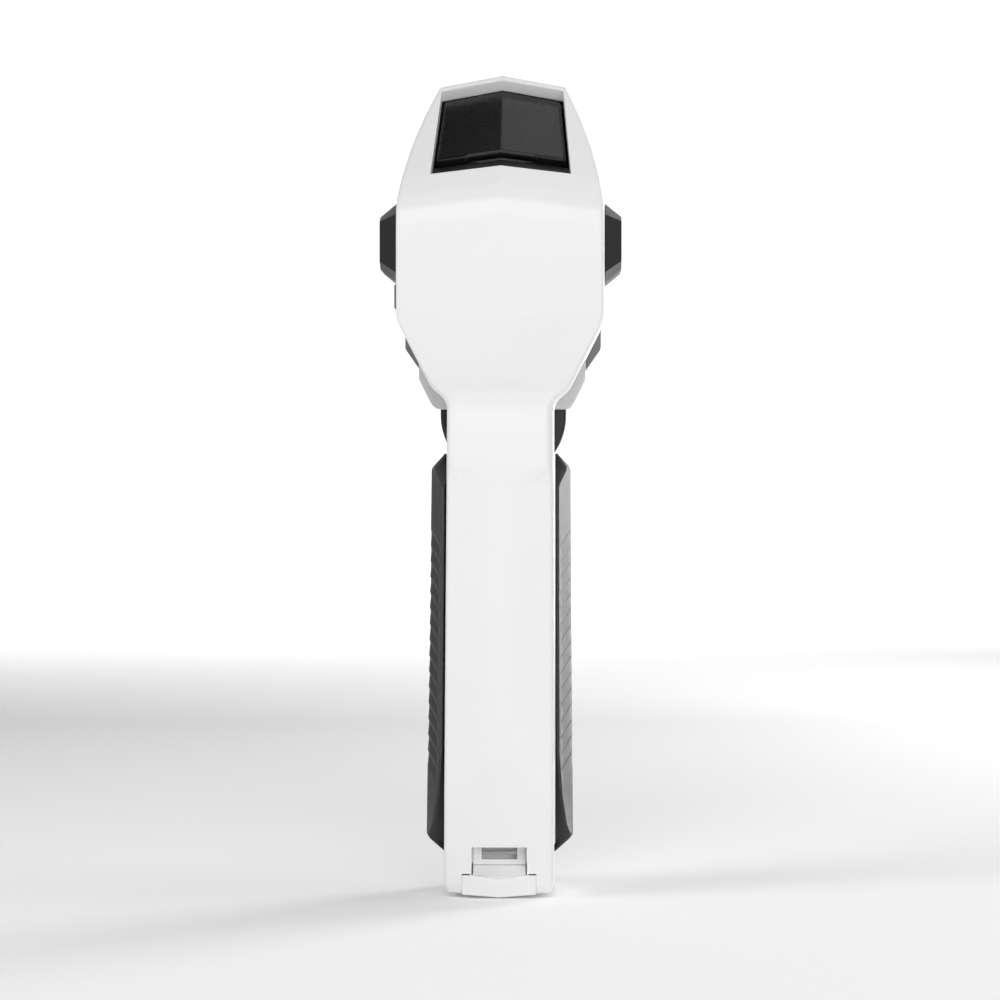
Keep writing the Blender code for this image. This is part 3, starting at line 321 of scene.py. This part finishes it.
def seam_groove(x, z, strength=0.22, width=0.32):
    """Depth of the fine seam under the neck: a groove along a trapezoid line, with a bell
    shaped section that falls off with distance from the line."""
    corners = ((17.2, 137.0), (11.5, 131.2), (0.0, 131.2))
    nearest = np.full(np.broadcast(x, z).shape, 99.0)
    for (x0, z0), (x1, z1) in zip(corners, corners[1:]):
        run, rise = x1 - x0, z1 - z0
        share = np.clip(((np.abs(x) - x0) * run + (z - z0) * rise) / (run ** 2 + rise ** 2), 0, 1)
        nearest = np.minimum(nearest, np.hypot(np.abs(x) - x0 - share * run, z - z0 - share * rise))
    return strength * np.exp(-(nearest / width) ** 2)


def head_shell():
    """The white shell, one grid of rows down its centre line by columns across it.

    Each row runs flat from the centre, falls by its own slope past the strip, turns a quarter
    circle at its edge and goes forward to the joint. Heights drop by the chevron slope for
    each mm out, which makes the gable and the V creases."""
    rows = shell_rows()
    z0, depth0, slope, strip, fall, edge, inner_column, outer_column, part = rows.T[:, :, None]
    half = half_width(z0)
    for _ in range(6):
        half = half_width(z0 - slope * half)
    half = rounded(half[:, 0], 5)[:, None]
    knots = [0.0 * half, inner_column * 0.5, inner_column, outer_column, half - edge]
    spans = [np.linspace(0.0, 1.0, 7)[:-1]] * 3 + [np.linspace(0.0, 1.0, 9)]
    flat = np.concatenate([low + (high - low) * span
                           for low, high, span in zip(knots, knots[1:], spans)], axis=1)
    past = flat - strip
    run = (past + np.sqrt(past ** 2 + 0.6 ** 2)) / 2
    face_depth = depth0 + fall * run + seam_groove(flat, z0)
    turn = np.linspace(0.0, math.pi / 2, 9)[None, 1:]
    last = face_depth[:, -1:]
    arc_x = half - edge + edge * np.sin(turn)
    arc_depth = np.minimum(last + edge * (1 - np.cos(turn)), part)
    side = np.linspace(0.0, 1.0, 13)[None, 1:]
    side_depth = arc_depth[:, -1:] + (part - arc_depth[:, -1:]) * side
    side_x = half + 0.0 * side
    lip = np.array([[0.15, 0.5, 2.2]])
    lip_x, lip_depth = half - lip, part + 0.0 * lip
    x = np.concatenate([flat, arc_x, side_x, lip_x], axis=1)
    depth = np.concatenate([face_depth, arc_depth, side_depth, lip_depth], axis=1)
    z = z0 - slope * x
    points = np.concatenate([placed(-x[:, :0:-1], depth[:, :0:-1], z[:, :0:-1]),
                             placed(x, depth, z)], axis=1)
    # openings: the roof window, and the pocket and the door in the heel
    cell = np.abs(np.arange(points.shape[1] - 1) + 0.5 - (x.shape[1] - 1))[None, :]
    middle = (z0[1:] + z0[:-1]) / 2
    forward = (depth0[1:] + depth0[:-1]) / 2
    roof = (middle < WINDOW_TOP[0]) & (middle > WINDOW_LOW[0]) & (cell < 18)
    pocket = (middle < POCKET_TOP) & (cell < 12) & (forward < 0.0)
    door = (middle < DOOR_TOP) & (cell < 18)
    keep = ~(roof | pocket | door)
    return surface("head_shell", points, WHITE, "housing", keep=keep, flip=True, sharp=50)


def framed_wall(name, loop, inward, deep, finish, body, lip=0.45):
    """A wall round an opening: its loop of edge points is carried inward over a small rolled
    lip, a quarter circle, and then straight down to its depth."""
    turn = np.linspace(0.0, math.pi / 2, 5)
    middle = loop.mean(axis=0)
    levels = [(lip * (1 - math.sin(t)), lip * (1 - math.cos(t))) for t in turn]
    levels += [(0.0, deep * share) for share in (0.35, 0.7, 1.0)]
    away = loop - middle
    away = away - (away @ inward)[:, None] * inward
    away = away / np.linalg.norm(away, axis=1)[:, None]
    rings = [loop + (away * out + inward * down) * MM for out, down in levels]
    return surface(name, np.stack(rings), finish, body, closed_u=True, sharp=60)


def roof_point(x, up, out):
    """A point over the gabled roof: x, distance up its slope and height square to it."""
    share = up / 51.5
    z = 234.5 + up * math.sin(ROOF_ANGLE) - (0.12 + 0.06 * share) * np.abs(x)
    depth = 11.1 + up * math.cos(ROOF_ANGLE)
    return placed(x, depth - out * math.sin(ROOF_ANGLE), z + out * math.cos(ROOF_ANGLE))


def window_wall():
    """The white wall inside the roof window, along the window's four edges."""
    side = np.linspace(0.0, 1.0, 25)
    across = np.linspace(-1.0, 1.0, 41)
    first = (WINDOW_LOW[0] - 234.5) / math.sin(ROOF_ANGLE)
    up = first + (51.5 - first) * side
    right = roof_point(23.0 - 2.45 * side, up, 0.0)
    top = roof_point(-across[1:-1] * 20.55, np.full(39, 51.5), 0.0)
    left = roof_point(-23.0 + 2.45 * side[::-1], up[::-1], 0.0)
    low = roof_point(across[1:-1] * 23.0, np.full(39, first), 0.0)
    inward = np.array([0.0, math.sin(ROOF_ANGLE), -math.cos(ROOF_ANGLE)])
    loop = np.concatenate([right, top, left, low])
    return framed_wall("window_wall", loop, inward, WINDOW_DEEP, WHITE, "housing", lip=0.35)


def heel_pocket():
    """The white walls of the finger pocket in the heel: left, top and right, from the rear
    face to the strap plate. Each wall follows the pocket's edge and runs straight forward."""
    share = np.linspace(0.0, 1.0, 13)
    rise = POCKET_TOP - 7.0
    right = np.stack([0.0 * share + POCKET_HALF, 7.0 + rise * share], axis=1)
    top = np.stack([POCKET_HALF - 2 * POCKET_HALF * share, 0.0 * share + POCKET_TOP], axis=1)
    left = right[::-1] * (-1.0, 1.0)
    edge = np.concatenate([right, top[1:-1], left])
    outward = np.concatenate([np.tile((1.0, 0.0), (13, 1)), np.tile((0.0, 1.0), (11, 1)),
                              np.tile((-1.0, 0.0), (13, 1))])
    face = np.interp(edge[:, 1], (4.0, 16.0, 31.2), (-17.4, -16.6, -15.5))
    rings = []
    for t in np.linspace(0.0, math.pi / 2, 5):
        spot = edge + outward * 0.5 * (1 - math.sin(t))
        rings.append(placed(spot[:, 0], face + 0.5 * (1 - math.cos(t)), spot[:, 1]))
    for forward, inset in ((2.0, 0.0), (4.0, 0.0), (5.6, 0.38), (8.0, 0.42)):
        spot = edge - outward * inset * (edge[:, 1] > 10.3)[:, None]
        rings.append(placed(spot[:, 0], face + forward, spot[:, 1]))
    return surface("heel_pocket_wall", np.stack(rings), WHITE, "housing", sharp=60, flip=True)


def pocket_backing():
    """A white wall ahead of the strap plate, a closed plate with rounded edges, and the plate's
    lip over the door's ramp."""
    corners = [(8.3, 18.2), (8.3, 6.4), (-8.3, 6.4), (-8.3, 18.2)]
    outline = rounded_outline(corners, [0.6] * 4)
    profile = [(0.2, -8.7), (0.0, -8.5), (0.0, -6.4), (0.2, -6.2)]
    carried("pocket_backing", outline, profile, WHITE, "housing")
    corners = [(8.4, 10.35), (8.4, 9.74), (-8.4, 9.74), (-8.4, 10.35)]
    outline = rounded_outline(corners, [0.05] * 4)
    profile = [(0.05, -11.62), (0.0, -11.57), (0.0, -9.9), (0.05, -9.85)]
    return carried("strap_plate_lip", outline, profile, WHITE, "housing")


# ---------------------------------------------------------------- grip pads

RIB_TOP, RIB_PITCH, RIB_COUNT = 116.3, 5.07, 15     # ribs moulded into each pad's outer facet
PAD_ROWS = np.array([
    # z, crest x, crest depth from the rear, widest x, widest depth from the rear
    (13.2, 17.85, 12.0, 17.95, 16.0),
    (17.9, 22.8, 9.0, 23.5, 12.0),
    (22.3, 21.2, 6.5, 23.5, 13.0),
    (31.7, 19.8, 5.2, 23.45, 14.0),
    (45.0, 18.9, 4.6, 23.35, 15.0),
    (90.0, 18.8, 4.6, 23.1, 15.0),
    (130.2, 18.8, 4.6, 22.9, 15.0),
    (136.1, 21.6, 11.4, 22.9, 15.5),
    (141.4, 17.9, 14.0, 18.0, 16.0),
])


def grip_rear(z):
    """Depth of the grip's rear centre line."""
    return np.interp(z, (0.0, 4.0, 16.0, 31.2, 43.7, 90.0, 131.0, 137.0, 156.0),
                     (-15.8, -17.4, -16.6, -15.5, -14.6, -4.8, 3.9, 5.2, 9.4))


def grip_front(z):
    """Depth of the grip's front face."""
    return np.interp(z, (0.0, 3.0, 16.0, 43.7, 90.0, 131.0, 150.0),
                     (22.4, 24.4, 25.6, 28.2, 32.5, 36.2, 38.0))


def grip_pad(side, sign):
    """A rubber grip pad: rows up the grip, each an open ring of the groove wall, the crest,
    the sloping outer facet, the side and the front edge, with rounded corners.

    The ribs are saw teeth cut into the outer facet: each starts at the widest edge and runs
    inward and down, and its lower side is steep."""
    z = np.arange(13.2, 141.41, 0.4)
    columns = [np.interp(z, PAD_ROWS[:, 0], PAD_ROWS[:, i]) for i in range(1, 5)]
    crest_x, crest, wide_x, wide = [rounded(column, 4)[:, None] for column in columns]
    rear, front = grip_rear(z)[:, None], grip_front(z)[:, None]
    inner = 17.8
    corners = [(inner + 0 * crest_x, rear + crest + 2.4), (crest_x - 0.5, rear + crest + 0.25),
               (crest_x + 0.3, rear + crest + 0.15), (wide_x - 0.5, rear + wide - 1.2),
               (wide_x, rear + wide + 0.6), (wide_x, front - 15.0),
               (wide_x - 0.6, front - 13.2), (np.minimum(wide_x, 20.9), front - 8.6),
               (np.minimum(wide_x, 20.2), front - 8.0), (inner + 0 * wide_x, front - 7.4)]
    spans = (3, 3, 22, 4, 10, 3, 6, 2, 4)
    xs, depths = [], []
    for (x0, d0), (x1, d1), count in zip(corners, corners[1:], spans):
        share = np.linspace(0.0, 1.0, count + 1)[None, :-1]
        xs.append(x0 + (x1 - x0) * share)
        depths.append(d0 + (d1 - d0) * share)
    xs.append(corners[-1][0])
    depths.append(corners[-1][1])
    x, depth = np.concatenate(xs, axis=1), np.concatenate(depths, axis=1)
    height = np.broadcast_to(z[:, None], x.shape)
    # distance in from the widest edge, along the facet, decides how far a rib has come down
    facet = np.clip((x - crest_x) / (wide_x - crest_x), 0.0, 1.0)
    on_facet = (np.arange(x.shape[1]) >= 6) & (np.arange(x.shape[1]) <= 32)
    inward = np.clip((wide_x - x) / 3.3, 0.0, 1.3)
    drop = 5.0 * inward ** 1.15
    phase = (RIB_TOP - (height + drop)) / RIB_PITCH
    tooth = phase - np.floor(phase)
    in_run = (phase > 0.0) & (phase < RIB_COUNT)
    wave = np.where(tooth < 0.22, tooth / 0.22, (1.0 - tooth) / 0.78)
    fade = smooth_step((1.12 - inward) / 0.22) * smooth_step((facet - 0.02) / 0.1)
    bite = np.where(in_run & on_facet[None, :], 0.42 * wave * fade, 0.0)
    side_part = (np.arange(x.shape[1]) > 32) & (np.arange(x.shape[1]) <= 44)
    edge_fade = np.where(side_part, smooth_step((44 - np.arange(x.shape[1])) / 10.0), 1.0)[None, :]
    bite = np.where(in_run & side_part[None, :], 0.42 * wave * edge_fade, bite)
    x = x - bite * 0.75
    depth = depth + bite * np.where(on_facet[None, :], 0.66, 0.0)
    points = placed(sign * x, depth, height)
    pad = surface(f"grip_pad_{side}_rubber", points, RUBBER, "housing", flip=sign > 0, sharp=40)
    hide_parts(f"grip_pad_{side}")
    return pad


# ---------------------------------------------------------------- outlines carried along a path

def rounded_outline(corners, radii, steps=6):
    """A closed outline with each corner turned by an arc of its own radius: the arc's points
    lie on a quadratic curve between the two points where it leaves the straight sides."""
    corners = np.asarray(corners, float)
    before, after = np.roll(corners, 1, axis=0), np.roll(corners, -1, axis=0)
    parts = []
    for corner, back, ahead, radius in zip(corners, before, after, radii):
        to_back, to_ahead = back - corner, ahead - corner
        reach_back = min(radius, np.linalg.norm(to_back) * 0.49)
        reach_ahead = min(radius, np.linalg.norm(to_ahead) * 0.49)
        start = corner + to_back / np.linalg.norm(to_back) * reach_back
        end = corner + to_ahead / np.linalg.norm(to_ahead) * reach_ahead
        t = np.linspace(0.0, 1.0, steps)[:, None]
        parts.append((1 - t) ** 2 * start + 2 * t * (1 - t) * corner + t ** 2 * end)
    return np.concatenate(parts)


def shrunk(outline, by):
    """An outline moved inward by a distance, square to its own line at each point."""
    ahead, back = np.roll(outline, -1, axis=0), np.roll(outline, 1, axis=0)
    tangent = ahead - back
    tangent = tangent / np.maximum(np.linalg.norm(tangent, axis=1), 1e-9)[:, None]
    normal = np.stack([-tangent[:, 1], tangent[:, 0]], axis=1)
    area = np.sum(outline[:, 0] * ahead[:, 1] - ahead[:, 0] * outline[:, 1])
    return outline + normal * by * np.sign(area)


def drawn_in(outline, by):
    """An outline scaled toward its middle, by the same distance at its widest and its tallest
    points, so that its corners never cross."""
    low, high = outline.min(axis=0), outline.max(axis=0)
    middle, reach = (low + high) / 2, (high - low) / 2
    return middle + (outline - middle) * (1.0 - by / reach)


def carried(name, outline, profile, finish, body, caps=("first", "last"), sharp=40,
            inset=shrunk):
    """An x-z outline carried forward along a profile of (inset, depth) pairs."""
    rings = []
    for by, depth in profile:
        ring = inset(outline, by)
        rings.append(placed(ring[:, 0], depth, ring[:, 1]))
    area = np.sum(outline[:, 0] * np.roll(outline[:, 1], -1)
                  - np.roll(outline[:, 0], -1) * outline[:, 1])
    return surface(name, np.stack(rings), finish, body, closed_u=True, caps=caps,
                   flip=area < 0, sharp=sharp)


def edge_turn(depth, radius, rising, inset_to=0.0):
    """Profile pairs of a quarter circle at an edge: from the end face to the side, or back."""
    turn = np.linspace(0.0, math.pi / 2, 5)
    pairs = [(inset_to + radius * (1 - math.sin(t)), depth + radius * (1 - math.cos(t)))
             for t in turn]
    if rising:
        return pairs
    return [(by, 2 * depth - at) for by, at in pairs][::-1]


def mirrored(right):
    """A closed outline from the corners of its right side, top to bottom."""
    return list(right) + [(-x, z) for x, z in right[::-1] if abs(x) > 1e-6]


def chin():
    """The white chin under the head: a shallow cup whose lower corners are chamfered."""
    corners = mirrored([(28.0, 172.4), (28.0, 166.5), (23.9, 158.2), (22.6, 156.8)])
    radii = [0.4, 0.8, 1.3, 1.0, 1.0, 1.3, 0.8, 0.4]
    outline = rounded_outline(corners, radii)
    profile = edge_turn(40.0, 0.9, True) + [(0.0, 50.0), (0.0, 57.7), (0.5, 58.0)]
    # the chin gets the pale grey copy of the white ABS, which is painted shade
    piece = carried("chin_cup", outline, profile, WHITE_PAINTED_SHADE, "housing", caps=("first", "last"))
    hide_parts("chin_shell")
    return piece


def optics_frame():
    """The grey frame across the front of the head, its front edge bevelled all round."""
    heights = np.array([265.7, 262.0, 255.0, 247.0, 240.0, 231.0, 222.6, 205.0])
    side = [(float(half_width(h)) - 0.2, float(h)) for h in heights]
    corners = mirrored([(0.0, 269.8)] + side + [(33.4, 177.5), (28.0, 169.7), (24.6, 164.4)])
    radii = [1.0] + [1.2] + [0.5] * (len(side) - 1) + [0.8, 0.8, 1.0]
    radii = radii + radii[:0:-1]
    outline = rounded_outline(corners, radii[:len(corners)])
    profile = edge_turn(58.3, 0.4, True) + [(0.0, 62.9), (0.15, 63.4), (3.5, 67.2), (4.2, 67.7)]
    piece = carried("optics_frame_grey", outline, profile, GREY, "housing", inset=drawn_in)
    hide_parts("front_frame")
    return piece


def stadium(half, low, high, steps=40):
    """A stadium outline: half circles above and below a straight stretch."""
    turn = np.linspace(0.0, math.pi, steps)
    top = np.stack([half * np.cos(turn), high - half + half * np.sin(turn)], axis=1)
    base = np.stack([-half * np.cos(turn), low + half - half * np.sin(turn)], axis=1)
    return np.concatenate([top, base])


def bezel():
    """The black stadium cup round the optics: rear face, rolled rim, side and front lip."""
    outline = stadium(21.7, 133.4, 262.6)
    profile = (edge_turn(68.0, 1.4, True)
               + [(0.0, 76.0)] + edge_turn(87.0, 0.8, False)
               + [(1.4, 87.0), (1.75, 86.85), (2.0, 86.5), (2.2, 85.6), (2.2, 82.0), (8.0, 82.0)])
    piece = carried("optics_bezel_cup", outline, profile, BLACK, "housing", sharp=50)
    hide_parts("optics_bezel")
    return piece


def lens(name, z, radius, node, glass):
    """A coated front lens: a shallow dome of turned rings inside its stepped barrel."""
    turn = np.linspace(0.0, 2 * math.pi, 65)[:-1]
    share = np.linspace(0.02, 1.0, 18)
    dome = [(radius * s, 84.0 + 1.5 * math.sqrt(max(1 - 0.92 * s * s, 0.0))) for s in share]
    dome.append((radius, 82.6))
    rings = [placed(r * np.cos(turn), d, z + r * np.sin(turn)) for r, d in dome]
    piece = surface(name, np.stack(rings), glass, "housing", closed_u=True, caps=("first",),
                    flip=True, sharp=60)
    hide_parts(node)
    return piece


def barrel(name, z, outer, inner):
    """A lens barrel: a turned profile with a ribbed funnel in front of the glass."""
    turn = np.linspace(0.0, 2 * math.pi, 97)[:-1]
    profile = [(outer, 79.2), (outer, 85.4), (outer - 0.4, 85.9), (inner + 1.4, 85.9)]
    depth = 85.7
    radius = inner + 1.2
    while radius > inner + 0.15:
        profile += [(radius, depth), (radius - 0.2, depth)]
        depth -= 0.35
        radius -= 0.2
    profile += [(inner + 0.1, 82.2)]
    rings = [placed(r * np.cos(turn), d, z + r * np.sin(turn)) for r, d in profile]
    return surface(name, np.stack(rings), BLACK, "housing", closed_u=True, sharp=30)


# ---------------------------------------------------------------- hatch

NOSE_UP, NOSE_END = 14.9, 13.5      # distances up the slope where the hatch's nose starts and ends
NOSE_DROP = 2.7                     # how far the nose falls below the lid's top
SCOOP_HALF = 11.8                   # half width of the finger scoop between the lugs
LUG_END = 21.35                     # outer end of each lug
LID_TOP = -3.4                      # the lid's top, measured square to the roof
LID_UNDER, LID_OVER_HINGE = -5.4, -4.2      # its underside, and where it passes over the hinge
LID_NARROW, LID_WIDE = 19.6, 21.4   # its half width at the hinge and at the nose


def hatch_lid():
    """The gabled black hatch, a closed slab. Its top runs flat down the slope to a crisp edge,
    and its lower edge is a nose.

    Each row is a closed ring: the top line, rolled down at its ends, and an underside. The
    nose drops from the crisp edge as a quarter of an ellipse, and between the lugs it is
    scooped by a smooth step of the distance from the middle."""
    ups = np.concatenate([[49.5, 49.3, 48.9, 44.7], np.linspace(44.0, 19.0, 18),
                          [16.6, 15.6, 15.1]])
    out = np.concatenate([[-3.9, -3.55, LID_TOP, LID_TOP], np.full(21, LID_TOP)])
    low = np.where(ups > 44.5, LID_OVER_HINGE, LID_UNDER)
    turn = np.linspace(0.0, math.pi / 2, 12)
    ups = np.concatenate([ups, NOSE_UP - (NOSE_UP - NOSE_END) * np.sin(turn)])
    out = np.concatenate([out, LID_TOP - 0.05 - NOSE_DROP * (1 - np.cos(turn))])
    low = np.concatenate([low, np.interp(turn, (0.0, 0.4), (-5.6, -6.4))])[:, None]
    half = np.minimum(LID_NARROW + 1.8 * (49.5 - ups) / 34.0, LID_WIDE)[:, None]
    share = np.concatenate([np.linspace(-1.0, -0.955, 5), np.linspace(-0.95, 0.95, 75),
                            np.linspace(0.955, 1.0, 5)])[None, :]
    x = half * share
    edge = np.clip((np.abs(x) - (half - 0.8)) / 0.8, 0.0, 1.0)
    on_nose = np.clip((NOSE_UP + 0.05 - ups) / 0.3, 0.0, 1.0)[:, None]
    in_scoop = smooth_step((SCOOP_HALF - np.abs(x)) / 1.3)
    down = np.concatenate([np.zeros(25), (1 - np.cos(turn))])[:, None]
    over = out[:, None] - 0.5 * edge ** 1.5 - on_nose * in_scoop * (0.35 - 0.2 * down)
    along = ups[:, None] + on_nose * in_scoop * 0.9 * down
    over_points = roof_point(x, along, over)
    under = np.minimum(low, over - 0.15)
    under_points = roof_point(x[:, ::-1], along[:, ::-1], under[:, ::-1])
    rings = np.concatenate([over_points, under_points], axis=1)
    lid = surface("hatch_lid_grained", rings, HATCH, "hatch", closed_u=True,
                  caps=("first", "last"), sharp=35)
    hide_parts("hatch_lid")
    return lid


def hatch_lug(side, sign):
    """A rounded bar along one side of the hatch's nose. Each of its rows is a closed ring, an
    oval round the nose's edge, and the rows shrink at both ends by a quarter circle."""
    share = np.linspace(0.0, 1.0, 41)[:, None]
    x = SCOOP_HALF + (LUG_END - SCOOP_HALF) * share
    near_end = np.minimum(share, 1.0 - share) * (LUG_END - SCOOP_HALF)
    size = np.sqrt(1.0 - np.clip(1.0 - near_end / 0.7, 0.0, 1.0) ** 2) * 0.85 + 0.15
    turn = np.linspace(0.0, 2 * math.pi, 33)[None, :-1]
    up = 14.35 + 0.75 * size * np.sign(np.cos(turn)) * np.abs(np.cos(turn)) ** 0.7
    out = -4.95 + 1.45 * size * np.sign(np.sin(turn)) * np.abs(np.sin(turn)) ** 0.7
    points = roof_point(sign * (x + 0.0 * turn), up, out)
    return surface(f"hatch_lug_{side}", points, HATCH, "hatch", closed_u=True,
                   caps=("first", "last"), flip=sign > 0, sharp=50)


# ---------------------------------------------------------------- softened CAD shapes

def softened(node, body, finish, width=0.35, name=None, segments=2, angle=28):
    """A copy of a CAD node with its loose triangles merged and its edges rounded by a small
    bevel, to stand for the node."""
    source = NODES[node]
    made = source.data.copy()
    made.materials.clear()
    made.materials.append(finish["material"])
    thing = bpy.data.objects.new(name or node + "_moulded", made)
    bpy.context.scene.collection.objects.link(thing)
    shape = bmesh.new()
    shape.from_mesh(made)
    bmesh.ops.remove_doubles(shape, verts=shape.verts, dist=1e-6)
    bmesh.ops.dissolve_limit(shape, angle_limit=math.radians(1.0), verts=shape.verts,
                             edges=shape.edges)
    shape.to_mesh(made)
    shape.free()
    if width:
        bevel = thing.modifiers.new("edge_radius", "BEVEL")
        bevel.width = width * MM
        bevel.segments = segments
        bevel.limit_method = "ANGLE"
        bevel.angle_limit = math.radians(angle)
        bevel.use_clamp_overlap = True
        bevel.harden_normals = False
    made.shade_smooth()
    made.set_sharp_from_angle(angle=math.radians(38))
    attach(thing, body)
    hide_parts(node)
    return thing


def dress(node, finish):
    """Give a CAD node, whose shape is right, its finish."""
    thing = NODES[node]
    thing.data.materials.clear()
    thing.data.materials.append(finish["material"])
    for slot in thing.material_slots:
        slot.material = finish["material"]


# ---------------------------------------------------------------- assembly

shell = head_shell()
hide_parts("rear_shell")
window_wall()
heel_pocket()
pocket_backing()
for side, sign in (("left", -1), ("right", 1)):
    grip_pad(side, sign)
    hatch_lug(side, sign)
chin()
optics_frame()
bezel()
hatch_lid()
OPTICS = {"camera_lower": (153.5, 10.0, 8.0), "projector": (192.0, 12.0, 9.5),
          "texture_camera": (219.0, 6.0, 4.6), "camera_upper": (243.0, 10.0, 8.0)}
GLASS = new_finish("coated_glass", "lens_glass", IOR=1.52, Roughness=0.03)
GLASS["shader"].inputs["Base Color"].default_value = linear("#0b0d1a")
GLASS["shader"].inputs["Coat Weight"].default_value = 1.0
for name, (z, outer, inner) in OPTICS.items():
    lens(name + "_front_lens", z, inner, name + "_lens", GLASS)
    barrel(name + "_barrel", z, outer, inner)

softened("front_panel", "housing", GLOSS, 0.3)
softened("handle_front_shell", "housing", WHITE, 0.5)
softened("base_door", "base_door", WHITE, 0.15)
softened("strap_plate", "housing", WHITE, 0.3)
softened("trigger", "trigger", BLACK, 0.8, segments=3)
softened("side_cowl_left", "housing", BLACK, 0.5)
softened("side_cowl_right", "housing", BLACK, 0.5)
softened("side_grille", "housing", BLACK, 0.2)
softened("hatch_tray", "housing", BLACK, 0.25)
softened("power_button", "power_button", GREY, 0.4)
softened("fan_rotor", "fan_rotor", BLACK, 0.15)
softened("fan_frame", "housing", BLACK, 0.3)
FINISH_OF_SLOT = {
    "white_abs": WHITE, "grey_abs": GREY, "black_abs": BLACK, "black_gloss": GLOSS,
    "grip_rubber": RUBBER, "steel": STEEL, "aluminium": ALUMINIUM, "circuit_board": BOARD,
    "lens_glass": GLASS, "led_diffuser": FROST, "brass": BRASS, "cell_wrap": FILM,
    "cable_sheath": SHEATH}
SLOT_OF_NODE = {row["node"]: row["material_slot"] for row in frame["record"]["subparts"]}
for node in NODES:
    if not NODES[node].hide_render:
        dress(node, FINISH_OF_SLOT[SLOT_OF_NODE[node]])


# ---------------------------------------------------------------- stage

def floor():
    """A pale floor under the base that runs far back and curves up into a backdrop, like a
    faintly back-lit sweep."""
    v = np.linspace(-1.0, 1.0, 3)[:, None] * 6.0
    path = np.array([(-6.0, 0.0), (2.0, 0.0), (3.2, 0.12), (4.2, 0.6), (4.9, 1.6), (5.1, 4.0)])
    y, z = path[:, 0][None, :], path[:, 1][None, :]
    points = np.stack([v + 0.0 * y, y + 0.0 * v, z + 0.0 * v - 0.0004], axis=-1)
    made = bpy.data.meshes.new("backdrop")
    rows, columns = points.shape[:2]
    index = np.arange(rows * columns).reshape(rows, columns)
    cells = np.stack([index[:-1, :-1], index[:-1, 1:], index[1:, 1:], index[1:, :-1]],
                     axis=-1).reshape(-1, 4)
    made.from_pydata(points.reshape(-1, 3).tolist(), [], cells.tolist())
    made.shade_smooth()
    paper = bpy.data.materials.new("matt_paper")
    paper.use_nodes = True
    shader = paper.node_tree.nodes["Principled BSDF"]
    shader.inputs["Base Color"].default_value = linear("#fafafa")
    shader.inputs["Roughness"].default_value = 0.9
    shader.inputs["Emission Color"].default_value = (1.0, 1.0, 1.0, 1.0)
    shader.inputs["Emission Strength"].default_value = 0.06
    made.materials.append(paper)
    thing = bpy.data.objects.new("backdrop", made)
    bpy.context.scene.collection.objects.link(thing)


def softbox(name, place, aim, width, height, power):
    """A rectangular studio light that faces a point."""
    lamp = bpy.data.lights.new(name, "AREA")
    lamp.shape = "RECTANGLE"
    lamp.size, lamp.size_y, lamp.energy = width, height, power
    thing = bpy.data.objects.new(name, lamp)
    thing.location = place
    thing.rotation_euler = (Vector(aim) - Vector(place)).to_track_quat("-Z", "Y").to_euler()
    bpy.context.scene.collection.objects.link(thing)


def studio():
    """Softboxes with a faint room light, and the camera at the operator's eye."""
    world = bpy.data.worlds.new("studio")
    bpy.context.scene.world = world
    world.use_nodes = True
    world.node_tree.nodes["Background"].inputs["Color"].default_value = (1.0, 1.0, 1.0, 1.0)
    world.node_tree.nodes["Background"].inputs["Strength"].default_value = 0.01
    middle = (0.0, 0.0, 0.13)
    softbox("key_high", (0.0, -1.3, 1.0), middle, 0.9, 0.9, 8.6)
    softbox("key_right", (0.9, -1.3, 0.5), middle, 0.8, 0.8, 2.8)
    softbox("key_low", (0.6, -1.4, 0.35), middle, 0.7, 0.7, 2.6)
    softbox("top_right", (0.42, 0.20, 1.20), middle, 0.70, 1.0, 3.2)
    softbox("right_front", (0.90, 0.95, 0.30), middle, 0.5, 1.1, 17.0)
    softbox("left_side", (-1.3, 0.05, 0.30), middle, 0.7, 0.9, 0.5)
    softbox("left_floor", (-1.4, -0.6, 1.0), (-0.7, -0.5, 0.0), 0.8, 0.8, 10.5)
    softbox("backdrop_wash", (0.0, 1.6, 2.2), (0.0, 4.6, 1.0), 3.0, 1.5, 112.0)
    eye = bpy.data.cameras.new("operator_view")
    eye.lens, eye.sensor_width = 111.64, 36.0
    eye.clip_start, eye.clip_end = 0.05, 40.0
    thing = bpy.data.objects.new("operator_view", eye)
    turn = math.radians(1.0)
    look = Vector((-math.sin(turn), math.cos(turn), 0.0))
    thing.location = Vector((0.0, REAR_Y * MM, 0.12595)) - look * 1.0
    thing.rotation_euler = look.to_track_quat("-Z", "Y").to_euler()
    bpy.context.scene.collection.objects.link(thing)
    bpy.context.scene.camera = thing
    bpy.context.scene.view_settings.view_transform = "Standard"


floor()
studio()
